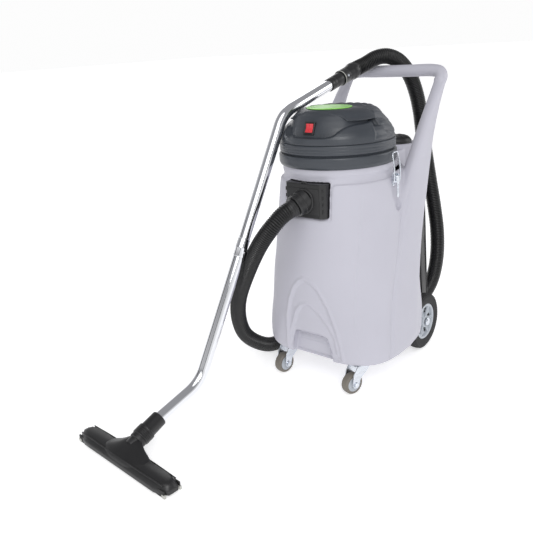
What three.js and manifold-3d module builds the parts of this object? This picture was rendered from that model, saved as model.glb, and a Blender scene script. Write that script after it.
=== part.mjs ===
// A trolley wet and dry suction cleaner: a moulded tank on wheels with a push handle,
// a lift-off motor head held by two toggle latches, a suction hose, a chrome wand and
// a floor tool. Millimetres, +Z up, front towards -Y. Everything is laid out around
// the tank axis, and the whole group is moved at the end so that the middle of the
// footprint is the origin.
import * as THREE from 'three';
import { mergeVertices } from 'three/addons/utils/BufferGeometryUtils.js';
import Module from 'manifold-3d';

const wasm = await Module();
wasm.setup();

// ---- driving dimensions ------------------------------------------------------------
const GAP = 0.3; // clearance kept between pieces that touch
const ORIGIN_SHIFT = [85, 204, 0]; // from the tank axis to the middle of the footprint
const SKIRT_Z = 115; // lowest edge of the moulded shell
const DECK_Z = 757; // top of the rear deck, and foot of the free handle legs
const NECK_R = 184; // round neck that the head sits over
const NECK_TOP = 795;
const WALL = 7; // roto-moulded wall
const TANK_FLOOR = 182;
const TOE = { half: 82, back: -172, top: 203 }; // recess under the front edge
const TOWER = { x: 12, y: 380, r: 75, pocketR: 59, top: 772, pocketFloor: 600 };
const AXLE = { y: 295, z: 108, r: 10, half: 199 };
const TYRE = { r: 108, seat: 70, x0: 150, x1: 194 };
const ARCH_R = 126; // wheel arch
const CASTER = { x: 148, y: -118, trail: 38, r: 37.5, w: 30, yaw: { right: -17, left: -8 } };
const COLLAR = { r: 195, z0: 768, z1: 806, inner: 186 };
const BAND = { r: 192, z0: 806.3, z1: 843, inner: 181 };
const DOME_Z = 843.3;
const DOME_TOP = 944;
const LATCH = { x: 207, y: 25, z: 722, drop: 14, width: 30 };
const BAR = { y: 387, z: 1028, r: 22, half: 150 };
const SWITCH = { y: -156, z: 893, w: 38, h: 40, lean: 20 };
const INLET = { y: -204, z: 672, w: 156, h: 110 };
const SOCKET_DIR = new THREE.Vector3(-0.35, -0.85, -0.39).normalize();
const TOOL = { x: -198, y: -866, yaw: -5, w: 450, d: 74 };
const WAND = { r: 19, wall: 1.6, slope: 15.8, steep: 60.1, low: [297, 139], high: [753, 932], bend: 120 };
const HOSE_D = 58;
const LEAD_D = 8;

const colour = {
  shell: 0xb9b7c1, head: 0x3d4147, black: 0x1b1b1c, green: 0x9fdc6c, red: 0xc8232b,
  zinc: 0xc4c8cc, chrome: 0xd9dbde, rubber: 0x222223, rim: 0xc2c6ca, tread: 0x8b8377,
  steel: 0x9a9da1, seal: 0x2b2b2b, copper: 0x86664a, white: 0xd8d8d4, mesh: 0x161616,
};
const finish = {
  plastic: [0.55, 0], metal: [0.32, 0.9], chrome: [0.08, 1], rubber: [0.85, 0], cloth: [0.95, 0],
};

// ---- solids ------------------------------------------------------------------------
function toSolid(geometry) {
  let g = geometry.clone();
  for (const name of Object.keys(g.attributes)) {
    if (name !== 'position') g.deleteAttribute(name);
  }
  g = mergeVertices(g, 1e-4);
  const index = g.index.array;
  const tris = [];
  for (let i = 0; i < index.length; i += 3) {
    const [a, b, c] = [index[i], index[i + 1], index[i + 2]];
    if (a !== b && b !== c && c !== a) tris.push(a, b, c);
  }
  return new wasm.Manifold(new wasm.Mesh({
    numProp: 3,
    vertProperties: new Float32Array(g.attributes.position.array),
    triVerts: new Uint32Array(tris),
  }));
}

function toGeometry(solid) {
  const mesh = solid.getMesh();
  const g = new THREE.BufferGeometry();
  g.setAttribute('position', new THREE.BufferAttribute(new Float32Array(mesh.vertProperties), 3));
  g.setIndex(new THREE.BufferAttribute(new Uint32Array(mesh.triVerts), 1));
  g.computeVertexNormals();
  return g;
}

const join = (...solids) => solids.reduce((sum, s) => sum.add(s));
const cut = (solid, ...tools) => tools.reduce((rest, t) => rest.subtract(t), solid);

function box(x0, x1, y0, y1, z0, z1) {
  const g = new THREE.BoxGeometry(x1 - x0, y1 - y0, z1 - z0);
  g.translate((x0 + x1) / 2, (y0 + y1) / 2, (z0 + z1) / 2);
  return toSolid(g);
}

// A cylinder from point a to point b
function rod(a, b, r, sides = 24) {
  const from = new THREE.Vector3(...a);
  const along = new THREE.Vector3(...b).sub(from);
  const g = new THREE.CylinderGeometry(r, r, along.length(), sides);
  g.translate(0, along.length() / 2, 0);
  const turn = new THREE.Quaternion().setFromUnitVectors(new THREE.Vector3(0, 1, 0), along.normalize());
  g.applyQuaternion(turn);
  g.translate(...a);
  return toSolid(g);
}

// A turned piece: profile points [radius, height] go up the outside and down the inside
function turned(profile, sides = 48, axis = 'z') {
  const points = profile.map(([r, h]) => new THREE.Vector2(r, h));
  const closed = profile[0][0] > 0 || profile.at(-1)[0] > 0;
  if (closed) points.push(points[0].clone());
  const g = new THREE.LatheGeometry(points, sides);
  g.rotateX(Math.PI / 2);
  if (axis === 'x') g.rotateY(Math.PI / 2);
  return toSolid(g);
}

// One outline at height z: half width a, reach to the front and to the rear, and the
// squareness of the front and of the rear (2 is an ellipse)
function outline(z, a, front, rear, nFront = 2, nRear = 2, count = 28, cx = 0, cy = 0) {
  const ring = [];
  for (let i = 0; i < count; i++) {
    const t = (2 * Math.PI * i) / count;
    const [c, s] = [Math.cos(t), Math.sin(t)];
    const n = s < 0 ? nFront : nRear;
    const reach = s < 0 ? front : rear;
    const x = a * Math.sign(c) * Math.abs(c) ** (2 / n);
    const y = reach * Math.sign(s) * Math.abs(s) ** (2 / n);
    ring.push([cx + x, cy + y, z]);
  }
  return ring;
}

// The closed skin through a stack of outlines that go up
function loft(rings) {
  const count = rings[0].length;
  const position = rings.flat(2);
  const index = [];
  for (let k = 0; k + 1 < rings.length; k++) {
    for (let i = 0; i < count; i++) {
      const j = (i + 1) % count;
      const [a, b] = [k * count + i, k * count + j];
      index.push(a, b, b + count, a, b + count, a + count);
    }
  }
  for (const k of [0, rings.length - 1]) {
    const middle = position.length / 3;
    const sum = [0, 1, 2].map((axis) => rings[k].reduce((t, p) => t + p[axis], 0) / count);
    position.push(...sum);
    for (let i = 0; i < count; i++) {
      const [a, b] = [k * count + i, k * count + ((i + 1) % count)];
      if (k === 0) index.push(middle, b, a);
      else index.push(middle, a, b);
    }
  }
  const g = new THREE.BufferGeometry();
  g.setAttribute('position', new THREE.BufferAttribute(new Float32Array(position), 3));
  g.setIndex(index);
  return toSolid(g);
}

// A round bar or tube along a smooth line
function swept(points, r, sides, steps) {
  const line = new THREE.CatmullRomCurve3(points.map((p) => new THREE.Vector3(...p)), false, 'centripetal');
  return sweptAlong(line, r, sides, steps);
}

function sweptAlong(line, r, sides, steps, bore = 0) {
  const circle = (radius) => Array.from({ length: sides }, (_, i) => {
    const t = (2 * Math.PI * i) / sides;
    return new THREE.Vector2(radius * Math.cos(t), radius * Math.sin(t));
  });
  const section = new THREE.Shape(circle(r));
  if (bore) section.holes.push(new THREE.Path(circle(bore)));
  return toSolid(new THREE.ExtrudeGeometry(section, { steps, extrudePath: line, bevelEnabled: false }));
}

// A flat shape [u, v] made solid: drawn in the YZ plane and given a thickness along X
function plateYZ(points, x0, x1) {
  const g = new THREE.ExtrudeGeometry(new THREE.Shape(points.map(([u, v]) => new THREE.Vector2(u, v))),
    { depth: x1 - x0, bevelEnabled: false });
  g.applyMatrix4(new THREE.Matrix4().set(0, 0, 1, x0, 1, 0, 0, 0, 0, 1, 0, 0, 0, 0, 0, 1));
  return toSolid(g);
}

const group = new THREE.Group();
function add(name, solid, tint, look = 'plastic', parent = group) {
  const [roughness, metalness] = finish[look];
  const material = new THREE.MeshStandardMaterial({ color: colour[tint], roughness, metalness });
  const mesh = new THREE.Mesh(toGeometry(solid), material);
  mesh.name = name;
  parent.add(mesh);
  return mesh;
}

const sides = [['right', 1], ['left', -1]];

// ---- moulded shell -----------------------------------------------------------------
// height, half width, front reach, rear reach, front squareness, rear squareness
const BODY = [
  [SKIRT_Z, 243, 190, 328, 3, 2.6],
  [130, 249, 196, 332, 3, 2.6],
  [154, 250, 198, 332, 3, 2.6],
  [294, 241, 207, 326, 2.5, 2.5],
  [413, 234, 212, 312, 2.2, 2.4],
  [480, 229, 209, 304, 2.05, 2.4],
  [646, 206, 198, 284, 2, 2.3],
  [722, 194, 191, 272, 2, 2.2],
  [732, 186, 184, 262, 2, 2.2],
];

// height, then the leg's front, rear, inner face and outer face
const LEG = [
  [SKIRT_Z, -80, 118, 150, 246],
  [154, -82, 142, 150, 252],
  [300, -75, 158, 150, 247],
  [450, -8, 180, 150, 238],
  [560, 38, 208, 155, 231],
  [640, 66, 236, 160, 226],
  [694, 100, 252, 167, 222],
  [DECK_Z, 143, 270, 171, 219],
];
const FREE_LEG = [
  [DECK_Z + GAP, 143, 270, 171, 219],
  [795, 171, 281, 172, 217],
  [850, 214, 306, 172, 214],
  [910, 265, 337, 172, 212],
  [960, 312, 367, 171, 211],
  [990, 341, 386, 170, 210],
  [1004, 352, 392, 171, 208],
];

function legLoft(rows, side) {
  return loft(rows.map(([z, y0, y1, x0, x1]) => {
    const [cx, cy] = [side * (x0 + x1) / 2, (y0 + y1) / 2];
    return outline(z, (x1 - x0) / 2, (y1 - y0) / 2, (y1 - y0) / 2, 3.2, 3.2, 16, cx, cy);
  }));
}

function bodyRing([z, a, front, rear, nFront, nRear], inset = 0, height = z) {
  return outline(height, a - inset, front - inset, rear - inset, nFront, nRear);
}

function latchRecess(side) {
  const slot = [];
  const lean = 0.2;
  for (let i = 0; i <= 8; i++) {
    const t = Math.PI + (Math.PI * i) / 8;
    slot.push([LATCH.y + 17 + 19 * Math.cos(t), 626 + 19 * Math.sin(t)]);
  }
  slot.push([LATCH.y + 17 + 19 - 110 * lean, 745], [LATCH.y + 17 - 19 - 110 * lean, 745]);
  const [x0, x1] = side > 0 ? [196, 260] : [-260, -196];
  return plateYZ(slot, x0, x1);
}

function tankShell() {
  const outer = [loft(BODY.map((row) => bodyRing(row)))];
  outer.push(rod([0, 0, 700], [0, 0, NECK_TOP], NECK_R, 36));
  const deck = [[640, 165, 0, 280], [700, 165, 0, 274], [DECK_Z - 6, 165, 0, 262], [DECK_Z, 160, 0, 256]];
  outer.push(loft(deck.map(([z, a, front, rear]) => outline(z, a, front + 40, rear, 2, 2.4))));
  outer.push(rod([TOWER.x, TOWER.y, SKIRT_Z], [TOWER.x, TOWER.y, TOWER.top], TOWER.r, 24));
  outer.push(box(TOWER.x - 62, TOWER.x + 62, 200, TOWER.y, SKIRT_Z, DECK_Z));
  for (const [, side] of sides) outer.push(legLoft(LEG, side));
  let solid = join(...outer);

  const inner = BODY.slice(3).map((row) => bodyRing(row, WALL));
  const tank = loft([bodyRing(BODY[2], 26, TANK_FLOOR), bodyRing(BODY[2], 12, TANK_FLOOR + 22), ...inner]);
  const toeWall = box(-TOE.half - WALL, TOE.half + WALL, -300, TOE.back + WALL, 100, TOE.top + WALL);
  let room = box(-300, 300, -300, 250, TANK_FLOOR - 5, 740).subtract(toeWall);
  for (const [, side] of sides) { // the wall stays whole behind each latch recess and wheel arch
    const [x0, x1] = [side * 188, side * 300];
    room = cut(room, box(Math.min(x0, x1), Math.max(x0, x1), -32, 84, 598, 760),
      rod([side * (139 - WALL), AXLE.y, AXLE.z], [x1, AXLE.y, AXLE.z], ARCH_R + WALL, 24));
  }
  const mouth = rod([0, 0, 690], [0, 0, NECK_TOP + 5], NECK_R - WALL - 1, 32);
  const under = loft([bodyRing(BODY[1], 9, SKIRT_Z - 5), bodyRing(BODY[1], 12, TANK_FLOOR - 12)]);
  solid = cut(solid, tank.intersect(room), mouth, under.subtract(toeWall));

  const pads = [];
  for (const [, side] of sides) {
    const [x, y] = [side * CASTER.x, CASTER.y];
    pads.push(box(x - 42, x + 42, y - 34, y + 34, SKIRT_Z, TANK_FLOOR - 10));
    const [x0, x1] = side > 0 ? [112, 136] : [-136, -112];
    pads.push(box(x0, x1, AXLE.y - 24, AXLE.y + 20, AXLE.z - 20, TANK_FLOOR - 10));
  }
  solid = join(solid, ...pads);

  for (const [, side] of sides) {
    const [x0, x1] = [side * 139, side * 300];
    solid = cut(solid, rod([x0, AXLE.y, AXLE.z], [x1, AXLE.y, AXLE.z], ARCH_R, 24), latchRecess(side));
  }
  const axleHole = rod([-200, AXLE.y, AXLE.z], [200, AXLE.y, AXLE.z], AXLE.r + 0.6, 24);
  const pocket = rod([TOWER.x, TOWER.y, TOWER.pocketFloor], [TOWER.x, TOWER.y, 800], TOWER.pocketR, 24);
  const window = box(-INLET.w / 2 - GAP, INLET.w / 2 + GAP, -260, -160,
    INLET.z - INLET.h / 2 - GAP, INLET.z + INLET.h / 2 + GAP);
  const toeSpace = box(-TOE.half, TOE.half, -260, TOE.back, SKIRT_Z - 5, TOE.top);
  return cut(solid, axleHole, pocket, window, toeSpace);
}

function pushHandle() {
  const line = [];
  const corner = 34;
  for (const side of [-1, 1]) {
    const end = [];
    end.push([side * 190, 362, 990]);
    end.push([side * 190, 376, 1008]);
    end.push([side * (190 - corner * 0.3), 384, 1022]);
    end.push([side * BAR.half, BAR.y, BAR.z]);
    line.push(...(side < 0 ? end : end.reverse()));
  }
  line.splice(4, 0, [-75, BAR.y, BAR.z], [0, BAR.y, BAR.z], [75, BAR.y, BAR.z]);
  return join(legLoft(FREE_LEG, -1), legLoft(FREE_LEG, 1), swept(line, BAR.r, 10, 18));
}

add('tank_shell', tankShell(), 'shell');
add('push_handle', pushHandle(), 'shell');

// ---- rear tower, lead and hook -----------------------------------------------------
const capProfile = [[0, 640], [57, 640], [57, 776], [50, 789], [34, 797], [0, 800]];
const cap = turned(capProfile, 28).translate(TOWER.x, TOWER.y, 0);
const GLAND = [TOWER.x - 34, TOWER.y + 26, 792];
const glandSolid = rod(GLAND, [GLAND[0] - 12, GLAND[1] + 9, GLAND[2] + 20], 9.5, 20);
add('tower_cap', cut(cap, rod([GLAND[0] + 3, GLAND[1] - 2.2, GLAND[2] - 5],
  [GLAND[0] - 15, GLAND[1] + 11.2, GLAND[2] + 25], 9.8, 20)), 'black');
add('cable_gland', glandSolid, 'black', 'rubber');

const HOOK_Z = 693;
const hookLine = [[-60, 403, HOOK_Z], [-78, 409, HOOK_Z - 3], [-95, 414, HOOK_Z - 7], [-112, 420, HOOK_Z - 8],
  [-126, 424, HOOK_Z], [-131, 426, HOOK_Z + 20], [-132, 426, HOOK_Z + 36]];
const hookPlate = box(-70, -56, 385, 421, HOOK_Z - 30, HOOK_Z + 26);
const towerCore = rod([TOWER.x, TOWER.y, 500], [TOWER.x, TOWER.y, TOWER.top + 50], TOWER.r + GAP, 28);
add('cable_hook', cut(join(hookPlate, swept(hookLine, 5, 8, 12)), towerCore), 'black');

// ---- suction inlet -----------------------------------------------------------------
function inletBlock() {
  const [w, h] = [INLET.w / 2, INLET.h / 2];
  let solid = box(-w, w, INLET.y, -166, INLET.z - h, INLET.z + h);
  const chamfer = new THREE.BoxGeometry(30, 60, INLET.h + 20);
  chamfer.rotateZ(Math.PI / 4);
  for (const side of [-1, 1]) {
    solid = cut(solid, toSolid(chamfer.clone().translate(side * (w + 12), INLET.y - 18, INLET.z)));
  }
  return cut(solid, rod([0, -300, INLET.z], [0, -100, INLET.z], 20, 24));
}

const socketBase = new THREE.Vector3(0, INLET.y - GAP, INLET.z);
const alongSocket = (d) => socketBase.clone().addScaledVector(SOCKET_DIR, d).toArray();
function inletSocket() {
  const cup = join(rod(alongSocket(-14), alongSocket(35), 35, 24), rod([0, INLET.y + 8, INLET.z],
    [0, INLET.y - 8, INLET.z], 38, 28));
  const front = box(-80, 80, -300, INLET.y - GAP, INLET.z - 80, INLET.z + 80);
  return cut(cup.intersect(front), rod(alongSocket(-30), alongSocket(60), 25.2, 20));
}

function inletCuff() {
  const sleeve = rod(alongSocket(24), alongSocket(50), 24.4, 14);
  const flange = rod(alongSocket(35 + GAP), alongSocket(50), 30, 14);
  const hoseEnd = rod(alongSocket(50), alongSocket(62), 27, 14);
  return join(sleeve, flange, hoseEnd);
}

add('inlet_block', inletBlock(), 'black');
add('inlet_socket', inletSocket(), 'black');
add('inlet_cuff', inletCuff(), 'black');
add('inlet_deflector', cut(
  box(-48, 48, -165.7, -120, 628, 726),
  box(-44, 44, -162, -124, 600, 722),
  rod([0, -200, INLET.z], [0, -140, INLET.z], 20, 24),
), 'black');

// ---- rear wheels -------------------------------------------------------------------
const { x0: TX0, x1: TX1, r: TR, seat: TS } = TYRE;
const tyreProfile = [[TS, TX0 + 4], [92, TX0 + 1], [102, TX0 + 6], [TR, TX0 + 13], [TR, TX1 - 13],
  [102, TX1 - 6], [92, TX1 - 1], [TS, TX1 - 4]];
const rimSeat = TS - 2 * GAP;
const hubBore = AXLE.r + 0.7;
const rimProfile = [[hubBore, TX0 + 2], [24, TX0 + 2], [24, 166], [58, 168], [58, TX0 + 6], [rimSeat, TX0 + 6],
  [rimSeat, TX1 - 6], [60, TX1 - 6], [56, 180], [26, 178], [22, TX1 - 1], [hubBore, TX1 - 1]];

const axleEnd = (side) => [side * AXLE.half, AXLE.y, AXLE.z];
add('rear_axle', rod(axleEnd(-1), axleEnd(1), AXLE.r, 20), 'steel', 'metal');
for (const [name, side] of sides) {
  const wheel = new THREE.Group();
  wheel.position.set(0, AXLE.y, AXLE.z);
  if (side < 0) wheel.rotation.z = Math.PI;
  group.add(wheel);
  add(`rear_tyre_${name}`, turned(tyreProfile, 28, 'x'), 'rubber', 'rubber', wheel);
  add(`rear_rim_${name}`, turned(rimProfile, 28, 'x'), 'rim', 'plastic', wheel);
  add(`axle_cap_${name}`, turned([[0, 203], [10, 203], [15, 200], [15, 194.3], [10.4, 194.3], [10.4, 199.4],
    [0, 199.4]].reverse(), 16, 'x'), 'black', 'plastic', wheel);
}

// ---- front casters -----------------------------------------------------------------
function casterFork() {
  const cheek = [];
  for (let i = 0; i <= 6; i++) {
    const t = Math.PI + (Math.PI * i) / 6;
    cheek.push([-CASTER.trail + 13 * Math.cos(t), CASTER.r + 13 * Math.sin(t)]);
  }
  cheek.push([22, 84], [24, 104], [-30, 104], [-48, 78]);
  const top = box(-23, 23, -30, 24, 99, 104);
  const race = turned([[0, 103], [26, 103], [26, 107], [20, 109.4], [0, 109.4]], 20);
  const hole = rod([-40, -CASTER.trail, CASTER.r], [40, -CASTER.trail, CASTER.r], 5.3, 16);
  return cut(join(plateYZ(cheek, 19, 23), plateYZ(cheek, -23, -19), top, race), hole);
}

function casterAxle() {
  const at = (x) => [x, -CASTER.trail, CASTER.r];
  const [nut, bolt] = [rod(at(23 + GAP), at(28), 9, 6), rod(at(-28), at(-23 - GAP), 9, 20)];
  return join(rod(at(-27), at(27), 5, 16), nut, bolt);
}

const treadProfile = [[27, -14], [33, -15], [37.5, -9], [37.5, 9], [33, 15], [27, 14]];
const hubProfile = [[5.4, -17], [10, -17], [12, -13], [26.7, -13], [26.7, 13], [12, 13], [10, 17], [5.4, 17]];
for (const [name, side] of sides) {
  const at = new THREE.Group();
  at.position.set(side * CASTER.x, CASTER.y, 0);
  group.add(at);
  const plate = join(box(-40, 40, -31, 31, 110.5, SKIRT_Z - GAP), turned([[0, 109.7], [23, 109.7], [23, 111],
    [0, 111]], 28));
  add(`caster_plate_${name}`, plate, 'zinc', 'metal', at);
  const swivel = new THREE.Group();
  swivel.rotation.z = THREE.MathUtils.degToRad(CASTER.yaw[name]);
  at.add(swivel);
  add(`caster_fork_${name}`, casterFork(), 'zinc', 'metal', swivel);
  add(`caster_axle_${name}`, casterAxle(), 'zinc', 'metal', swivel);
  const wheel = new THREE.Group();
  wheel.position.set(0, -CASTER.trail, CASTER.r);
  swivel.add(wheel);
  add(`caster_tread_${name}`, turned(treadProfile, 24, 'x'), 'tread', 'rubber', wheel);
  add(`caster_hub_${name}`, turned(hubProfile, 20, 'x'), 'rim', 'plastic', wheel);
}

// ---- motor head --------------------------------------------------------------------
add('head_collar', turned([[COLLAR.inner, COLLAR.z0], [190, COLLAR.z0], [COLLAR.r, 777], [COLLAR.r, 802],
  [193, COLLAR.z1], [COLLAR.inner, COLLAR.z1]], 32), 'head');
add('head_seal', turned([[170, NECK_TOP + GAP], [183, NECK_TOP + GAP], [183, 798.7], [170, 798.7]], 32),
  'seal', 'rubber');
const baseRim = COLLAR.inner - GAP;
add('head_base', turned([[40, 799], [baseRim, 799], [baseRim, COLLAR.z1], [40, COLLAR.z1]], 32), 'black');
add('motor_band', turned([[BAND.inner, BAND.z0], [187, BAND.z0], [187, 811], [191, 813],
  [BAND.r, 838], [190, BAND.z1], [BAND.inner, BAND.z1]], 32), 'head');

const LOWER_TIER = [[DOME_Z, 189], [852, 188], [862, 183], [874, 174], [884, 160]];
// height, half width, front reach, rear reach
const UPPER_TIER = [[DOME_Z, 168, 164, 178], [880, 160, 158, 172], [905, 147, 149, 161], [925, 130, 135, 143],
  [938, 112, 124, 126], [DOME_TOP, 92, 112, 104]];
function domeCover() {
  const shape = (inset) => {
    const tier = LOWER_TIER.map(([z, r]) => outline(z - inset, r - inset, r - inset, r - inset, 2, 2, 24));
    const block = UPPER_TIER.map(([z, a, front, rear]) =>
      outline(z - inset, a - inset, front - inset, rear - inset, 2.3, 2.1, 24));
    return join(loft(tier), loft(block));
  };
  const pad = box(-24, 24, -220, SWITCH.y + 2, SWITCH.z - 26, SWITCH.z + 26);
  const hole = box(-16, 16, -220, -120, SWITCH.z - 17, SWITCH.z + 17);
  const lean = (solid) => solid.translate(0, -SWITCH.y, -SWITCH.z).rotate(-SWITCH.lean, 0, 0)
    .translate(0, SWITCH.y, SWITCH.z);
  const vents = [];
  for (let k = 0; k < 3; k++) {
    const t = THREE.MathUtils.degToRad(70 + 20 * k);
    const [c, s] = [Math.cos(t), Math.sin(t)];
    vents.push(rod([140 * c, 140 * s, 870], [200 * c, 200 * s, 866], 4, 8));
  }
  return cut(shape(0), shape(5), lean(pad), lean(hole), ...vents);
}
add('dome_cover', domeCover(), 'head');

const badge = turned([[0, 0], [1, 0], [1, 2.4], [0.94, 3.6], [0, 4.2]].map(([r, h]) => [r * 72, h]), 32);
add('badge_plate', badge.scale([1.08, 0.92, 1]).translate(0, -44, DOME_TOP + GAP), 'green');

const panel = new THREE.Group();
panel.position.set(0, SWITCH.y, SWITCH.z);
panel.rotation.x = THREE.MathUtils.degToRad(-SWITCH.lean);
group.add(panel);
const [sw, sh] = [SWITCH.w / 2, SWITCH.h / 2];
add('switch_bezel', cut(
  join(box(-sw, sw, -1.5, 1.7, -sh, sh), box(-15.6, 15.6, 1, 16, -16.6, 16.6)),
  box(-13.8, 13.8, -5, 30, -15, 15),
), 'black', 'plastic', panel);
const rockerShape = [[-3.2, 13.6], [-0.6, 0], [-3.2, -13.6], [6, -13], [6, 13]];
add('rocker_switch', plateYZ(rockerShape, -13.3, 13.3), 'red', 'plastic', panel);

add('vacuum_motor', turned([[28, 806.3], [72, 806.3], [72, 848], [45, 852], [45, 915], [5, 915], [5, 842],
  [66, 842], [66, 812], [28, 812]], 24), 'copper', 'metal');
add('motor_fan', turned([[0, 816], [18, 816], [62, 824], [62, 836], [4.5, 838], [4.5, 920], [0, 920]], 24),
  'steel', 'metal');

function floatCage() {
  let cage = turned([[30, 680], [55, 680], [55, 798.7], [50, 798.7], [50, 684], [30, 684]], 18);
  for (let k = 0; k < 3; k++) {
    const t = (Math.PI * k) / 3;
    const bar = new THREE.BoxGeometry(130, 26, 80).rotateZ(t).translate(0, 0, 734);
    cage = cut(cage, toSolid(bar));
  }
  return cage;
}
add('float_cage', floatCage(), 'black');
const floatProfile = Array.from({ length: 9 }, (_, i) => {
  const t = -Math.PI / 2 + (Math.PI * i) / 8;
  return [i === 0 || i === 8 ? 0 : 43 * Math.cos(t), 720 + 43 * Math.sin(t)];
});
add('float_ball', turned(floatProfile, 16), 'white');

// ---- toggle latches ----------------------------------------------------------------
for (const [name, side] of sides) {
  const at = new THREE.Group();
  at.position.set(side * LATCH.x, LATCH.y, LATCH.z);
  if (side < 0) at.rotation.z = Math.PI;
  group.add(at);
  const w = LATCH.width / 2;
  const bracket = join(
    box(-10.7, -8.4, -w + 3, w - 3, -30, 14),
    box(-8.6, 4, -w + 3, -w + 5, -7, 9),
    box(-8.6, 4, w - 5, w - 3, -7, 9),
    rod([0, -w + 3, 0], [0, w - 3, 0], 2.2, 12),
  );
  add(`latch_bracket_${name}`, bracket, 'zinc', 'metal', at);
  const lever = join(
    rod([0, -w + 5 + GAP, 0], [0, w - 5 - GAP, 0], 4.6, 14),
    box(-1.6, 6, -w + 5 + GAP, w - 5 - GAP, -18, 1),
    box(3, 6.6, -6.5, 6.5, -68, -12),
  );
  const pivot = rod([2, -w - 6, -LATCH.drop], [2, w + 6, -LATCH.drop], 2.6, 12);
  add(`latch_lever_${name}`, cut(lever, rod([0, -w, 0], [0, w, 0], 2.6, 10), pivot), 'zinc', 'metal', at);
  const topZ = 800 - LATCH.z;
  const wire = 2.1;
  const bailLine = [[2, -w - 4, -LATCH.drop], [2, -w - 4, 30], [-2, -w - 4, 56], [-6, -w + 1, topZ],
    [-6, 0, topZ + 1], [-6, w - 1, topZ], [-2, w + 4, 56], [2, w + 4, 30], [2, w + 4, -LATCH.drop]];
  const foot = rod([2, -w - 5, -LATCH.drop], [2, w + 5, -LATCH.drop], wire, 10);
  add(`latch_bail_${name}`, join(swept(bailLine, wire, 6, 20), foot), 'zinc', 'metal', at);
}

// ---- wand and floor tool -----------------------------------------------------------
// A local frame: X across the tool, Y back towards the machine, Z up
const reach = new THREE.Group();
reach.position.set(TOOL.x, TOOL.y, 0);
reach.rotation.z = THREE.MathUtils.degToRad(TOOL.yaw);
group.add(reach);

const slope = THREE.MathUtils.degToRad(WAND.slope);
const steep = THREE.MathUtils.degToRad(WAND.steep);
const onLine = ([y, z], angle, d) => [0, y + d * Math.cos(angle), z + d * Math.sin(angle)];
const wandPath = (from, mid, to) => {
  const path = new THREE.CurvePath();
  const v = (p) => new THREE.Vector3(...p);
  path.add(new THREE.LineCurve3(v(from), v(mid[0])));
  path.add(new THREE.QuadraticBezierCurve3(v(mid[0]), v(mid[1]), v(mid[2])));
  path.add(new THREE.LineCurve3(v(mid[2]), v(to)));
  return path;
};
const bendReach = WAND.bend * Math.tan((steep - slope) / 2);
const WAND_START = onLine(WAND.low, slope, -196);
const WAND_END = onLine(WAND.high, slope, 290);
const WAND_SPLIT = 457; // where the two tubes meet, measured up from the lower knee
const half = onLine(WAND.low, steep, WAND_SPLIT);
const halfUp = onLine(WAND.low, steep, WAND_SPLIT + GAP);
const bendAt = (knee, before, after) =>
  [onLine(knee, before, -bendReach), [0, ...knee], onLine(knee, after, bendReach)];
const bore = WAND.r - WAND.wall;
const wandTube = (from, mid, to) => sweptAlong(wandPath(from, mid, to), WAND.r, 10, 12, bore);
const wandLower = wandTube(WAND_START, bendAt(WAND.low, slope, steep), half);
const wandUpper = wandTube(halfUp, bendAt(WAND.high, steep, slope), WAND_END);
add('wand_lower', wandLower, 'chrome', 'chrome', reach);
add('wand_upper', wandUpper, 'chrome', 'chrome', reach);

const cuffAt = (d) => onLine(WAND_END.slice(1), slope, d);
const wandBoreEnd = rod(cuffAt(-60), cuffAt(GAP), WAND.r + GAP, 20);
const CUFF_STEP = 28; // end of the wand's cuff and start of the hose's
const CUFF_END = 112;
add('wand_cuff', cut(rod(cuffAt(-42), cuffAt(CUFF_STEP), 23, 24), wandBoreEnd), 'black', 'plastic', reach);
const hoseCuff = join(rod(cuffAt(CUFF_STEP + GAP), cuffAt(96), 27, 24), rod(cuffAt(96), cuffAt(CUFF_END), 30, 24));
add('hose_cuff', hoseCuff, 'black', 'plastic', reach);

function toolBody() {
  const w = TOOL.w / 2;
  const bar = loft([[8, w, 37], [22, w, 36], [34, w - 8, 27], [40, w - 30, 18]].map(([z, a, d]) =>
    outline(z, a, d, d, 7, 7, 24)));
  const funnelRows = [[20, 92, 34, 2], [36, 66, 30, 6], [52, 34, 26, 20], [62, 28, 24, 34]];
  const funnel = loft(funnelRows.map(([z, a, d, y]) => outline(z, a, d, d, 2.6, 2.6, 16, 0, y)));
  const neck = rod([0, 26, 50], onLine(WAND.low, slope, -170), 25, 18);
  const lipSlots = [-1, 1].map((s) => box(-w + 8, w - 8, s * 27 - 3, s * 27 + 3, 0, 26));
  const mouth = box(-w + 14, w - 14, -18, 18, 0, 24);
  const wandSocket = rod(onLine(WAND.low, slope, -196 - GAP), onLine(WAND.low, slope, -160), WAND.r + 1, 16);
  return cut(join(bar, funnel, neck), ...lipSlots, mouth, wandSocket);
}
add('tool_body', toolBody(), 'black', 'plastic', reach);
for (const [name, s] of [['front', -1], ['rear', 1]]) {
  const w = TOOL.w / 2 - 8 - GAP;
  add(`squeegee_${name}`, box(-w, w, s * 27 - 2.6, s * 27 + 2.6, 0.6, 25.6), 'rubber', 'rubber', reach);
}

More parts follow.
